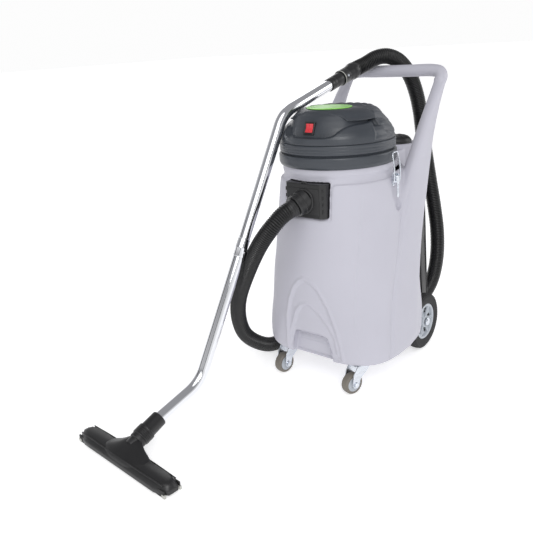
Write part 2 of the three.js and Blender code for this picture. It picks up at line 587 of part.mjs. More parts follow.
// ---- stored floor tool -------------------------------------------------------------
// A second tool stands behind the right leg, its long bar leaning out to the axle
const STORED_TOP = new THREE.Vector3(158, 276, 616);
const STORED_FOOT = new THREE.Vector3(125, 392, 96);
const STORED_HALF = STORED_TOP.distanceTo(STORED_FOOT) / 2;
const storedRows = [[-1, 10, 20], [-0.95, 15, 27], [0.95, 15, 27], [1, 10, 18]];
const storedBar = loft(storedRows.map(([k, thick, wide]) =>
  outline(k * STORED_HALF, thick, wide, wide, 4, 4, 20)));
const stored = new THREE.Group();
stored.position.copy(STORED_TOP).add(STORED_FOOT).multiplyScalar(0.5);
const storedLean = STORED_TOP.clone().sub(STORED_FOOT).normalize();
stored.quaternion.setFromUnitVectors(new THREE.Vector3(0, 0, 1), storedLean);
group.add(stored);
add('stored_tool_bar', storedBar, 'black', 'plastic', stored);
const neckPlan = [118, 306];
const storedNeck = loft([[520, 14, 20], [600, 20, 24], [640, 21, 21], [700, 21, 21]].map(([z, a, d]) =>
  outline(z, a, d, d, 2, 2, 20, ...neckPlan)));
add('stored_tool_neck', storedNeck, 'black', 'plastic');

// ---- soft pieces -------------------------------------------------------------------
// Mesh bag behind the tower: a slim closed solid of its outer shape
const bagRows = [[186, 52, 14], [210, 70, 20], [330, 76, 26], [480, 74, 24], [612, 72, 15]];
const towerClear = rod([TOWER.x, TOWER.y, 100], [TOWER.x, TOWER.y, 800], TOWER.r + 1, 32);
add('mesh_bag', cut(loft(bagRows.map(([z, a, d]) => outline(z, a, d, d, 2.8, 2.8, 24, -8, 484))), towerClear),
  'mesh', 'cloth');

// Mains lead: from the gland on the tower, over to a hank that hangs on the hook, then
// a short tail with the plug
const HANK = { x: -101, y: 416, z: 564, halfWidth: 56, halfHeight: 150, band: 20, thick: 24, turn: 72 };
const hankTop = HANK.z + HANK.halfHeight;
const hankFoot = HANK.z - HANK.halfHeight;
const leadStart = [GLAND[0] - 13, GLAND[1] + 9.7, GLAND[2] + 21.6];
const leadLine = [leadStart, [-45.2, 420, 822], [-60.5, 424, 826.9], [-76.4, 426, 824.8],
  [-89.9, 426, 816.2], [-98.5, 424, 802.7], [-100.7, 421, 790], [-101, 418, 765], [-101, 416.5, 740],
  [HANK.x, HANK.y, hankTop + 0.4]];
add('lead_upper', swept(leadLine, LEAD_D / 2, 8, 16), 'black', 'rubber');

function hank() {
  const oval = (w, h) => Array.from({ length: 24 }, (_, i) => {
    const t = (2 * Math.PI * i) / 24;
    return new THREE.Vector2(w * Math.cos(t), h * Math.sin(t));
  });
  const shape = new THREE.Shape(oval(HANK.halfWidth, HANK.halfHeight));
  shape.holes.push(new THREE.Path(oval(HANK.halfWidth - HANK.band, HANK.halfHeight - HANK.band)));
  const g = new THREE.ExtrudeGeometry(shape, { depth: HANK.thick, bevelEnabled: false });
  g.translate(0, 0, -HANK.thick / 2);
  g.rotateX(Math.PI / 2);
  g.rotateZ(THREE.MathUtils.degToRad(HANK.turn));
  return toSolid(g.translate(HANK.x, HANK.y, HANK.z));
}
add('lead_hank', hank(), 'black', 'rubber');

const PLUG = [HANK.x, HANK.y, 352];
const tailLine = [[HANK.x, HANK.y, hankFoot - 0.4], [HANK.x, HANK.y, (hankFoot + PLUG[2]) / 2],
  [...PLUG.slice(0, 2), PLUG[2] + 0.3]];
add('lead_tail', swept(tailLine, LEAD_D / 2, 8, 6), 'black', 'rubber');
const plugProfile = [[0, -52], [17, -52], [20, -46], [20, -30], [10, -20], [7, -18], [5.5, 0], [0, 0]];
const pins = [-1, 1].map((s) => rod([s * 9.5, 0, -71], [s * 9.5, 0, -50], 2.4, 10));
add('mains_plug', join(turned(plugProfile, 20), ...pins).translate(...PLUG), 'black', 'rubber');

// Suction hose: out of the inlet, down beside the tank, round behind the wheels on the
// floor, up the back and over the handle bar into the cuff on the wand
const reachTurn = new THREE.Matrix4().makeRotationZ(reach.rotation.z).setPosition(reach.position);
const beyondCuff = (d) => new THREE.Vector3(...cuffAt(CUFF_END + d)).applyMatrix4(reachTurn).toArray();
const hoseEnd = beyondCuff(GAP);
const hoseNear = beyondCuff(18);
const hoseLine = [
  alongSocket(62 + GAP), alongSocket(82), [-45, -303, 612], [-86, -325, 551], [-160, -320, 434],
  [-232, -292, 314], [-272, -254, 216], [-287, -212, 141], [-285, -158, 88], [-276, -92, 50],
  [-272, -4, 35], [-271, 110, 30], [-269, 230, 30], [-260, 330, 30], [-232, 412, 30], [-190, 480, 30],
  [-130, 534, 30], [-62, 560, 35], [-4, 563, 55], [44, 557, 88], [78, 552, 142], [102, 546, 208],
  [115, 544, 300], [112, 544, 400], [97, 543, 500], [78, 541, 600], [62, 534, 700], [50, 524, 790],
  [43, 514, 870], [33, 497, 945], [18, 469, 1012], [-5, 430, 1062], [-30, 390, 1082], [-56, 352, 1078],
  [-80, 318, 1059], hoseNear, hoseEnd,
];
add('suction_hose', swept(hoseLine, HOSE_D / 2, 10, 48), 'black', 'rubber');

group.position.set(...ORIGIN_SHIFT);
group.updateMatrixWorld(true);

export default group;
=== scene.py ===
"""A trolley wet and dry suction cleaner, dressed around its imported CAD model."""
import math

import bpy
import bmesh
import numpy as np
from mathutils import Matrix, Vector


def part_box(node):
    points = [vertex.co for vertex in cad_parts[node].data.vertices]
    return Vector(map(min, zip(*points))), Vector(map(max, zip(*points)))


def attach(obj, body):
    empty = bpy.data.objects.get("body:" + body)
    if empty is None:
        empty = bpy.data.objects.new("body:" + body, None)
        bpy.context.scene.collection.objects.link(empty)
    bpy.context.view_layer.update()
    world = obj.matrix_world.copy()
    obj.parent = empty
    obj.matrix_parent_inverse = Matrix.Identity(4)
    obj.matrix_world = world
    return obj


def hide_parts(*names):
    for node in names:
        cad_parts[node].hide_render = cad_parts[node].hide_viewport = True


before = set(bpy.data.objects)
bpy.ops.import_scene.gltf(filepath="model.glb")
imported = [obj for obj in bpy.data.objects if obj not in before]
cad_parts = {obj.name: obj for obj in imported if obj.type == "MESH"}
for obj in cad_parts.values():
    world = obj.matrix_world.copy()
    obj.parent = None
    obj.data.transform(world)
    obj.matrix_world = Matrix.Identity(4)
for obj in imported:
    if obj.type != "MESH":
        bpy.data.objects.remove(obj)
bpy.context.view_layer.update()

MM = 0.001
collar_low, collar_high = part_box("head_collar")
TANK_AXIS = Vector(((collar_low.x + collar_high.x) / 2, (collar_low.y + collar_high.y) / 2, 0))


def at(x, y, z):
    """A place given in millimetres from the tank axis, as a point in the row frame in metres."""
    return TANK_AXIS + Vector((x, y, z)) * MM


# ---- camera, light and floor ---------------------------------------------------------
CAMERA_AT = (1197.2, -1825.3, 1150.3)
CAMERA_YAW, CAMERA_PITCH, CAMERA_ROLL = 0.7006, 0.3309, -0.0629
FOCAL_MM, SENSOR_MM = 43.71, 36.0


def make_camera():
    data = bpy.data.cameras.new("camera")
    data.lens, data.sensor_width = FOCAL_MM, SENSOR_MM
    camera = bpy.data.objects.new("camera", data)
    turn = Matrix.Rotation(CAMERA_YAW, 4, "Z") @ Matrix.Rotation(math.pi / 2 - CAMERA_PITCH, 4, "X")
    camera.matrix_world = (Matrix.Translation(at(*CAMERA_AT)) @ turn
                           @ Matrix.Rotation(CAMERA_ROLL, 4, "Z"))
    bpy.context.scene.collection.objects.link(camera)
    bpy.context.scene.camera = camera


def area_light(name, place, aim, size, watts, tint=(1, 1, 1)):
    data = bpy.data.lights.new(name, "AREA")
    data.shape, data.size, data.size_y = "RECTANGLE", size[0], size[1]
    data.energy, data.color = watts, tint
    light = bpy.data.objects.new(name, data)
    place, aim = Vector(place), Vector(aim)
    turn = (aim - place).to_track_quat("-Z", "Y").to_matrix().to_4x4()
    light.matrix_world = Matrix.Translation(place) @ turn
    bpy.context.scene.collection.objects.link(light)


def make_studio():
    area_light("key_light", (2.6, -2.7, 2.7), (0.1, 0.1, 0.5), (1.3, 1.3), 44)
    area_light("rim_light", (2.2, 2.6, 2.0), (0.2, 0.2, 0.6), (1.2, 1.8), 16)
    area_light("back_light", (-2.4, 2.4, 2.4), (0.1, 0.3, 0.6), (1.6, 1.6), 14)
    sun = bpy.data.lights.new("soft_sun", "SUN")
    sun.energy, sun.angle = 0.8, math.radians(50)
    sun_holder = bpy.data.objects.new("soft_sun", sun)
    sun_holder.rotation_euler = (math.radians(38), 0, math.radians(30))
    bpy.context.scene.collection.objects.link(sun_holder)
    world = bpy.data.worlds.new("studio")
    bpy.context.scene.world = world
    world.use_nodes = True
    nodes, links = world.node_tree.nodes, world.node_tree.links
    where = nodes.new("ShaderNodeTexCoord")
    split = nodes.new("ShaderNodeSeparateXYZ")
    links.new(where.outputs["Generated"], split.inputs[0])
    ramp = nodes.new("ShaderNodeValToRGB")
    ramp.color_ramp.elements[0].position, ramp.color_ramp.elements[0].color = 0.12, (1.0, 1.0, 1.0, 1)
    ramp.color_ramp.elements[1].position, ramp.color_ramp.elements[1].color = 0.5, (0.36, 0.36, 0.37, 1)
    links.new(split.outputs[2], ramp.inputs[0])
    background = nodes["Background"]
    links.new(ramp.outputs[0], background.inputs["Color"])
    background.inputs["Strength"].default_value = 0.98

    floor_mesh = bpy.data.meshes.new("floor")
    reach = 60.0
    floor_mesh.from_pydata([(-reach, -reach, 0), (reach, -reach, 0), (reach, reach, 0), (-reach, reach, 0)],
                           [], [(0, 1, 2, 3)])
    floor = bpy.data.objects.new("floor", floor_mesh)
    floor.data.materials.append(surface("floor_paint", (0.84, 0.84, 0.845), 0.9, grain=(60, 0.0), shade=0.004,
                                        specular=0.05, emission=((1, 1, 1), 0.52)))
    bpy.context.scene.collection.objects.link(floor)
    for name, spot, size in (("card_left", (-2.6, -2.2, 1.1), (0.9, 2.6)),
                             ("card_right", (1.9, -3.3, 1.5), (0.5, 2.6)),
                             ("card_back", (2.9, 1.6, 1.0), (0.8, 2.4))):
        card_mesh = bpy.data.meshes.new(name)
        w, h = size[0] / 2, size[1] / 2
        card_mesh.from_pydata([(-w, -h, 0), (w, -h, 0), (w, h, 0), (-w, h, 0)], [], [(0, 1, 2, 3)])
        card = bpy.data.objects.new(name, card_mesh)
        aim = Vector((0, 0, 0.7)) - Vector(spot)
        card.matrix_world = Matrix.Translation(spot) @ aim.to_track_quat("-Z", "Y").to_matrix().to_4x4()
        card_mesh.materials.append(surface(name, (0.01, 0.01, 0.01), 0.9, specular=0.0))
        card.visible_camera = card.visible_shadow = card.visible_diffuse = False
        bpy.context.scene.collection.objects.link(card)
    bpy.context.scene.view_settings.view_transform = "Standard"


# ---- materials -------------------------------------------------------------------------
def surface(name, colour, roughness, metallic=0.0, grain=(400, 0.1), shade=0.06, patch=9.0,
            rough_vary=0.06, coat=0.0, emission=None, wear=0.0, specular=0.5, streak=None):
    """A moulded, painted or plated surface: fine bump, soft patches of tone, and worn edges."""
    material = bpy.data.materials.new(name)
    material.use_nodes = True
    tree = material.node_tree
    nodes, links = tree.nodes, tree.links
    shader = nodes["Principled BSDF"]
    shader.inputs["Metallic"].default_value = metallic
    shader.inputs["Specular IOR Level"].default_value = specular
    shader.inputs["Coat Weight"].default_value = coat
    where = nodes.new("ShaderNodeTexCoord").outputs["Object"]
    if streak:
        stretch = nodes.new("ShaderNodeMapping")
        stretch.inputs["Scale"].default_value = streak
        links.new(where, stretch.inputs["Vector"])
        where = stretch.outputs["Vector"]

    def noise(scale, detail):
        n = nodes.new("ShaderNodeTexNoise")
        n.inputs["Scale"].default_value, n.inputs["Detail"].default_value = scale, detail
        links.new(where, n.inputs["Vector"])
        return n.outputs["Fac"]

    tone = nodes.new("ShaderNodeMapRange")
    links.new(noise(patch, 3), tone.inputs["Value"])
    tone.inputs["From Min"].default_value, tone.inputs["From Max"].default_value = 0.3, 0.7
    tone.inputs["To Min"].default_value, tone.inputs["To Max"].default_value = 1 - shade, 1 + shade
    dye = nodes.new("ShaderNodeVectorMath")
    dye.operation = "SCALE"
    dye.inputs[0].default_value = colour
    links.new(tone.outputs["Result"], dye.inputs["Scale"])
    tint = dye.outputs["Vector"]
    if wear:
        edge = nodes.new("ShaderNodeNewGeometry")
        rubbed = nodes.new("ShaderNodeMapRange")
        links.new(edge.outputs["Pointiness"], rubbed.inputs["Value"])
        rubbed.inputs["From Min"].default_value, rubbed.inputs["From Max"].default_value = 0.52, 0.62
        rubbed.inputs["To Max"].default_value = wear
        mix = nodes.new("ShaderNodeMix")
        mix.data_type = "RGBA"
        links.new(rubbed.outputs["Result"], mix.inputs["Factor"])
        links.new(tint, mix.inputs["A"])
        mix.inputs["B"].default_value = (*[min(1, c * 1.6 + 0.05) for c in colour], 1)
        tint = mix.outputs["Result"]
    links.new(tint, shader.inputs["Base Color"])
    gloss = nodes.new("ShaderNodeMapRange")
    links.new(noise(patch * 5, 4), gloss.inputs["Value"])
    gloss.inputs["To Min"].default_value = max(0.02, roughness - rough_vary)
    gloss.inputs["To Max"].default_value = roughness + rough_vary
    links.new(gloss.outputs["Result"], shader.inputs["Roughness"])
    bump = nodes.new("ShaderNodeBump")
    bump.inputs["Strength"].default_value = grain[1]
    bump.inputs["Distance"].default_value = 0.0006
    links.new(noise(grain[0], 6), bump.inputs["Height"])
    links.new(bump.outputs["Normal"], shader.inputs["Normal"])
    if emission:
        shader.inputs["Emission Color"].default_value = (*emission[0], 1)
        shader.inputs["Emission Strength"].default_value = emission[1]
    return material


make_camera()
SHELL = surface("lilac_polyethylene", (0.475, 0.47, 0.53), 0.47, grain=(700, 0.22), shade=0.018, patch=6,
                specular=0.42)
HEAD = surface("slate_moulding", (0.040, 0.046, 0.056), 0.36, grain=(900, 0.35), shade=0.05, patch=14,
               wear=0.25)
BLACK = surface("black_moulding", (0.011, 0.011, 0.012), 0.38, grain=(600, 0.25), shade=0.1, wear=0.25)
RUBBER = surface("black_rubber", (0.016, 0.016, 0.016), 0.72, grain=(500, 0.4), shade=0.12)
HOSE = surface("hose_plastic", (0.005, 0.005, 0.0055), 0.3, grain=(500, 0.2), shade=0.1)
TYRE = surface("tyre_rubber", (0.018, 0.018, 0.019), 0.78, grain=(350, 0.5), shade=0.15, wear=0.15)
RIM = surface("rim_plastic", (0.42, 0.45, 0.49), 0.4, grain=(600, 0.15), shade=0.03, wear=0.2)
TREAD = surface("grey_rubber", (0.16, 0.145, 0.125), 0.62, grain=(500, 0.3), shade=0.08)
CHROME = surface("chrome_plate", (0.78, 0.79, 0.82), 0.07, 1.0, grain=(120, 0.02), shade=0.02,
                 rough_vary=0.02)
ZINC = surface("zinc_plate", (0.66, 0.69, 0.74), 0.26, 1.0, grain=(300, 0.12), shade=0.07, patch=30,
               rough_vary=0.08, streak=(1, 1, 6))
STEEL = surface("plain_steel", (0.48, 0.48, 0.5), 0.35, 1.0, grain=(300, 0.2), shade=0.08, streak=(8, 1, 1))
BADGE = surface("lime_badge", (0.30, 0.72, 0.13), 0.32, grain=(500, 0.06), shade=0.03, patch=20, coat=0.2)
RED = surface("lit_red_lens", (0.5, 0.03, 0.04), 0.2, grain=(300, 0.05), shade=0.08, patch=60,
              emission=((0.9, 0.05, 0.06), 0.16), coat=0.3)
LIP = surface("pale_lip", (0.46, 0.46, 0.43), 0.6, grain=(400, 0.3), shade=0.12, patch=40)
FLOAT = surface("float_white", (0.7, 0.7, 0.68), 0.4, grain=(400, 0.1))
CASING = surface("motor_casing", (0.3, 0.31, 0.33), 0.4, 0.6, grain=(300, 0.2))
CORD = surface("lead_sheath", (0.015, 0.015, 0.015), 0.5, grain=(900, 0.2), shade=0.1)
make_studio()


# ---- shapes, in millimetres from the tank axis -------------------------------------------
def catmull(points, steps):
    """Points evenly spaced along the smooth curve through the given ones (centripetal)."""
    p = [np.array(q, float) for q in points]
    p = [2 * p[0] - p[1], *p, 2 * p[-1] - p[-2]]
    fine = []
    for a, b, c, d in zip(p, p[1:], p[2:], p[3:]):
        t0, t1, t2 = (math.sqrt(np.linalg.norm(v - u)) for u, v in ((a, b), (b, c), (c, d)))
        m1 = ((b - a) / t0 - (c - a) / (t0 + t1) + (c - b) / t1) * t1
        m2 = ((c - b) / t1 - (d - b) / (t1 + t2) + (d - c) / t2) * t1
        t = np.linspace(0, 1, 24, endpoint=False)[:, None]
        fine.append((2 * t**3 - 3 * t**2 + 1) * b + (t**3 - 2 * t**2 + t) * m1
                    + (3 * t**2 - 2 * t**3) * c + (t**3 - t**2) * m2)
    line = np.vstack([*fine, p[-2][None]])
    return even(line, steps)


def even(line, steps):
    run = np.concatenate([[0], np.cumsum(np.linalg.norm(np.diff(line, axis=0), axis=1))])
    at_run = np.linspace(0, run[-1], steps + 1)
    return np.stack([np.interp(at_run, run, line[:, k]) for k in range(3)], 1)


def length_of(line):
    return float(np.linalg.norm(np.diff(line, axis=0), axis=1).sum())


def ease(a, b, value):
    t = np.clip((np.asarray(value, float) - a) / (b - a), 0, 1)
    return t * t * (3 - 2 * t)


def rings_to_mesh(rings, closed_ring=True, caps=True, loop=False):
    """A skin through equal rings of points. loop joins the last ring to the first."""
    rings = [np.asarray(r, float) for r in rings]
    n = len(rings[0])
    verts = np.vstack(rings)
    faces = []
    pairs = list(range(len(rings) - 1)) + ([len(rings) - 1] if loop else [])
    for k in pairs:
        nxt = (k + 1) % len(rings)
        for i in range(n if closed_ring else n - 1):
            j = (i + 1) % n
            faces.append((k * n + i, k * n + j, nxt * n + j, nxt * n + i))
    if caps and not loop:
        faces.append(tuple(reversed(range(n))))
        faces.append(tuple(range((len(rings) - 1) * n, len(rings) * n)))
    return verts, faces


def lathe(profile, sides=64, closed=False):
    """Turned round Z. Profile points are (radius, height), bottom to top outside."""
    turn = np.linspace(0, 2 * math.pi, sides, endpoint=False)
    rings = [np.stack([max(r, 1e-3) * np.cos(turn), max(r, 1e-3) * np.sin(turn), np.full(sides, h)], 1)
             for r, h in profile]
    return rings_to_mesh(rings, caps=not closed, loop=closed)


def ring_of(profile, sides=160):
    t = np.linspace(0, 2 * math.pi, sides, endpoint=False)
    return rings_to_mesh([np.stack([r * np.cos(t), r * np.sin(t), np.full(sides, h)], 1) for r, h in profile],
                         loop=True)


def outline(z, a, front, rear, n_front=2.0, n_rear=2.0, count=96, cx=0.0, cy=0.0):
    t = np.linspace(0, 2 * math.pi, count, endpoint=False)
    c, s = np.cos(t), np.sin(t)
    n = np.where(s < 0, n_front, n_rear)
    x = a * np.sign(c) * np.abs(c) ** (2 / n)
    y = np.where(s < 0, front, rear) * np.sign(s) * np.abs(s) ** (2 / n)
    return np.stack([cx + x, cy + y, np.full(count, float(z))], 1)


def tube(line, radius, sides=16, caps=True, up=None):
    """A tube along a line. radius is a number, or a function of (ring number, angles)."""
    line = np.asarray(line, float)
    along = np.gradient(line, axis=0)
    along /= np.linalg.norm(along, axis=1)[:, None]
    across = (0, 0, 1) if abs(along[0][2]) < 0.9 else (0, 1, 0)
    side = np.cross(along[0], across) if up is None else np.array(up)
    turn = np.linspace(0, 2 * math.pi, sides, endpoint=False)
    rings = []
    for k, (p, d) in enumerate(zip(line, along)):
        side = side - d * (side @ d)
        side /= np.linalg.norm(side)
        other = np.cross(d, side)
        r = radius(k, turn) if callable(radius) else np.full(sides, float(radius))
        rings.append(p + (np.cos(turn) * r)[:, None] * side + (np.sin(turn) * r)[:, None] * other)
    return rings_to_mesh(rings, caps=caps)


def rod(a, b, r, sides=32, edge=0.6):
    """A bar from a to b with small rounded ends."""
    a, b = np.array(a, float), np.array(b, float)
    d = (b - a) / np.linalg.norm(b - a)
    line = [a, a + d * edge * 0.3, a + d * edge, b - d * edge, b - d * edge * 0.3, b]
    cut = [r - edge, r - edge * 0.3, r, r, r - edge * 0.3, r - edge]
    return tube(line, lambda k, turn: np.full(len(turn), cut[k]), sides)


def block(x0, x1, y0, y1, z0, z1, edge=1.0, segments=3):
    bm = bmesh.new()
    bmesh.ops.create_cube(bm, size=1)
    size, mid = (x1 - x0, y1 - y0, z1 - z0), ((x0 + x1) / 2, (y0 + y1) / 2, (z0 + z1) / 2)
    for v in bm.verts:
        v.co = Vector([v.co[k] * size[k] + mid[k] for k in range(3)])
    if edge:
        bmesh.ops.bevel(bm, geom=bm.edges[:], offset=edge, segments=segments, profile=0.6, affect="EDGES")
    return from_bmesh(bm)


def from_bmesh(bm):
    bm.verts.index_update()
    verts = np.array([v.co[:] for v in bm.verts])
    faces = [tuple(v.index for v in f.verts) for f in bm.faces]
    bm.free()
    return verts, faces


def plate(points, t0, t1, edge=0.8, segments=3, axis="x"):
    """A flat outline [u, v] with a thickness: in YZ along X, in XZ along Y, or in XY along Z."""
    bm = bmesh.new()
    order = {"x": lambda u, v, t: (t, u, v), "y": lambda u, v, t: (u, t, v),
             "z": lambda u, v, t: (u, v, t)}[axis]
    low = [bm.verts.new(order(u, v, t0)) for u, v in points]
    high = [bm.verts.new(order(u, v, t1)) for u, v in points]
    n = len(points)
    bm.faces.new(low[::-1])
    bm.faces.new(high)
    for i in range(n):
        bm.faces.new((low[i], low[(i + 1) % n], high[(i + 1) % n], high[i]))
    bmesh.ops.recalc_face_normals(bm, faces=bm.faces[:])
    if edge:
        rim = [e for e in bm.edges if e.calc_face_angle(0) > 0.6]
        bmesh.ops.bevel(bm, geom=rim, offset=edge, segments=segments, profile=0.6, affect="EDGES")
    return from_bmesh(bm)


def arc(cx, cy, r, start, end, steps=8):
    t = np.radians(np.linspace(start, end, steps + 1))
    return [(cx + r * math.cos(a), cy + r * math.sin(a)) for a in t]


def place(shape, matrix):
    verts, faces = shape
    m = np.array(matrix, float)
    return verts @ m[:3, :3].T + m[:3, 3], faces


def shift(shape, x, y, z):
    return shape[0] + np.array((x, y, z), float), shape[1]


def new_object(name, shapes, material):
    verts, faces, base = [], [], 0
    for v, f in shapes:
        verts.append(v)
        faces += [tuple(i + base for i in face) for face in f]
        base += len(v)
    mesh = bpy.data.meshes.new(name)
    mesh.from_pydata((np.vstack(verts) * MM + np.array(TANK_AXIS)).tolist(), [], faces)
    bm = bmesh.new()
    bm.from_mesh(mesh)
    bmesh.ops.recalc_face_normals(bm, faces=bm.faces[:])
    bm.to_mesh(mesh)
    bm.free()
    obj = bpy.data.objects.new(name, mesh)
    bpy.context.scene.collection.objects.link(obj)
    mesh.materials.append(material)
    return obj


def finish_piece(obj, body, nodes=(), sharp=38):
    obj.data.shade_smooth()
    obj.data.set_sharp_from_angle(angle=math.radians(sharp))
    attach(obj, body)
    if nodes:
        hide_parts(*nodes)
    return obj


def piece(name, shapes, material, body, nodes=(), sharp=38):
    return finish_piece(new_object(name, shapes, material), body, nodes, sharp)


def bake(obj, *modifiers):
    """Adds the modifiers, keeps their result as the mesh, and drops them."""
    for kind, settings in modifiers:
        m = obj.modifiers.new(kind, kind)
        for key, value in settings.items():
            setattr(m, key, value)
    bpy.context.view_layer.update()
    mesh = bpy.data.meshes.new_from_object(obj.evaluated_get(bpy.context.evaluated_depsgraph_get()))
    obj.modifiers.clear()
    old = obj.data
    obj.data = mesh
    bpy.data.meshes.remove(old)
    return obj


def combine(obj, shapes, operation, solver="MANIFOLD"):
    for shape in shapes:
        tool = new_object("tool", [shape], SHELL)
        bake(obj, ("BOOLEAN", {"operation": operation, "object": tool, "solver": solver}))
        bpy.data.objects.remove(tool)
    return obj


def coords(obj):
    co = np.zeros(len(obj.data.vertices) * 3, np.float32)
    obj.data.vertices.foreach_get("co", co)
    return (co.reshape(-1, 3).astype(float) - np.array(TANK_AXIS)) / MM


def normals(obj):
    no = np.zeros(len(obj.data.vertices) * 3, np.float32)
    obj.data.vertex_normals.foreach_get("vector", no)
    return no.reshape(-1, 3).astype(float)


def set_coords(obj, co):
    obj.data.vertices.foreach_set("co", (co * MM + np.array(TANK_AXIS)).astype(np.float32).ravel())
    obj.data.update()


def levels(table, step):
    """The table's rows at every step of height, each column on a smooth curve without overshoot."""
    table = np.array(table, float)
    z = table[:, 0]
    heights = np.unique(np.concatenate([np.arange(z[0], z[-1], step), z]))
    columns = [heights]
    for column in table[:, 1:].T:
        slope = np.diff(column) / np.diff(z)
        knot = np.zeros(len(z))
        inner = slope[:-1] * slope[1:] > 0
        knot[1:-1][inner] = 2 / (1 / slope[:-1][inner] + 1 / slope[1:][inner])
        knot[0], knot[-1] = slope[0], slope[-1]
        k = np.clip(np.searchsorted(z, heights, side="right") - 1, 0, len(z) - 2)
        h = z[k + 1] - z[k]
        t = (heights - z[k]) / h
        columns.append((2 * t**3 - 3 * t**2 + 1) * column[k] + (t**3 - 2 * t**2 + t) * h * knot[k]
                       + (3 * t**2 - 2 * t**3) * column[k + 1] + (t**3 - t**2) * h * knot[k + 1])
    return np.stack(columns, 1)


SIDES = (("right", 1), ("left", -1))


# ---- suction hose and mains lead ---------------------------------------------------------
AIM = np.array((-0.35, -0.85, -0.39)) / math.sqrt(0.35**2 + 0.85**2 + 0.39**2)
INLET_FACE = np.array((0, -204.3, 672))
REACH = Matrix.Translation((-198, -866, 0)) @ Matrix.Rotation(math.radians(-5), 4, "Z")
SLOPE, STEEP = math.radians(15.8), math.radians(60.1)
LOW_KNEE, HIGH_KNEE = (297, 139), (753, 932)


def along_socket(d):
    return INLET_FACE + AIM * d


def on_wand(knee, angle, d):
    """A place on the wand's axis, d past a knee, in the wand's own frame."""
    return np.array((0, knee[0] + d * math.cos(angle), knee[1] + d * math.sin(angle)))


def cuff(d):
    return on_wand(HIGH_KNEE, SLOPE, 290 + d)


def reached(point):
    return np.array(REACH @ Vector(point))


HOSE_ROUTE = [along_socket(58), along_socket(82), (-45, -303, 612), (-86, -325, 551), (-160, -320, 434),
              (-232, -292, 314), (-272, -254, 216), (-287, -212, 141), (-285, -158, 88), (-276, -92, 50),
              (-272, -4, 35), (-271, 110, 30), (-269, 230, 30), (-260, 330, 30), (-232, 412, 30),
              (-190, 480, 30), (-130, 534, 30), (-62, 560, 35), (-4, 563, 55), (44, 557, 88), (78, 552, 142),
              (102, 546, 208), (115, 544, 300), (112, 544, 400), (97, 543, 500), (78, 541, 600),
              (62, 534, 700), (50, 524, 790), (43, 514, 870), (33, 497, 945), (18, 469, 1012),
              (-5, 430, 1062), (-30, 390, 1081.3),
              (-56, 352, 1078), (-80, 318, 1059), reached(cuff(130)), reached(cuff(110))]
RIB_PITCH = 6.6
RIB_RADII = (28.1, 27.4, 24.8, 27.4)  # crest, flank, valley, flank


def make_hose():
    rough = catmull(HOSE_ROUTE, 800)
    ribs = int(length_of(rough) / RIB_PITCH)
    line = catmull(HOSE_ROUTE, ribs * 4)

    def radius(k, turn):
        return np.full(len(turn), RIB_RADII[k % 4])

    hose = piece("suction_hose_ribbed", [tube(line, radius, 20)], HOSE, "root", ["suction_hose"], 80)


HANK_AT, HANK_TURN = np.array((-101, 416, 564)), math.radians(72)
GLAND_AT, GLAND_WAY = np.array((-22, 406, 792)), np.array((-12, 9, 20)) / 25.0
PLUG_AT = np.array((-101, 416, 352))


def lead_route():
    """From the gland over to the hook, four loops of a hank, and a tail down to the plug."""
    flat, away = (np.array((math.cos(HANK_TURN), math.sin(HANK_TURN), 0)),
                  np.array((-math.sin(HANK_TURN), math.cos(HANK_TURN), 0)))

    def loop_point(u, z, w):
        return HANK_AT + flat * u + away * w + np.array((0, 0, z - HANK_AT[2]))

    route = [GLAND_AT + GLAND_WAY * 27, (-45.2, 420, 822), (-60.5, 424, 826.9), (-76.4, 426, 824.8),
             (-89.9, 426, 816.2), (-98.5, 424, 802.7), (-100.7, 421, 790), (-101, 418, 765),
             loop_point(3, 738, -6), loop_point(16, 706, -14), loop_point(31, 668, -15)]
    slots = [(-5, -8.4), (5, -8.4), (5, 0), (-5, 0), (-5, 8.4)]
    first, last = 30, -4 * 360 - 40
    for angle in range(first, last - 1, -14):
        lap = (first - angle) / 360
        k = min(int(lap), len(slots) - 1)
        nxt = slots[min(k + 1, len(slots) - 1)]
        mix = float(ease(0.8, 1.0, lap - k))
        rho, w = (slots[k][i] * (1 - mix) + nxt[i] * mix for i in (0, 1))
        sag = 1 + 0.05 * math.sin(lap * 2.1 * math.pi)
        a = math.radians(angle)
        route.append(loop_point((46 * sag + rho) * math.cos(a), 564 + (139 + rho) * math.sin(a), w))
    route += [loop_point(27, 440, 12), loop_point(15, 412, 12), loop_point(4, 388, 4), PLUG_AT + (0, 0, 22),
              PLUG_AT + (0, 0, 8), PLUG_AT + (0, 0, -4)]
    return route


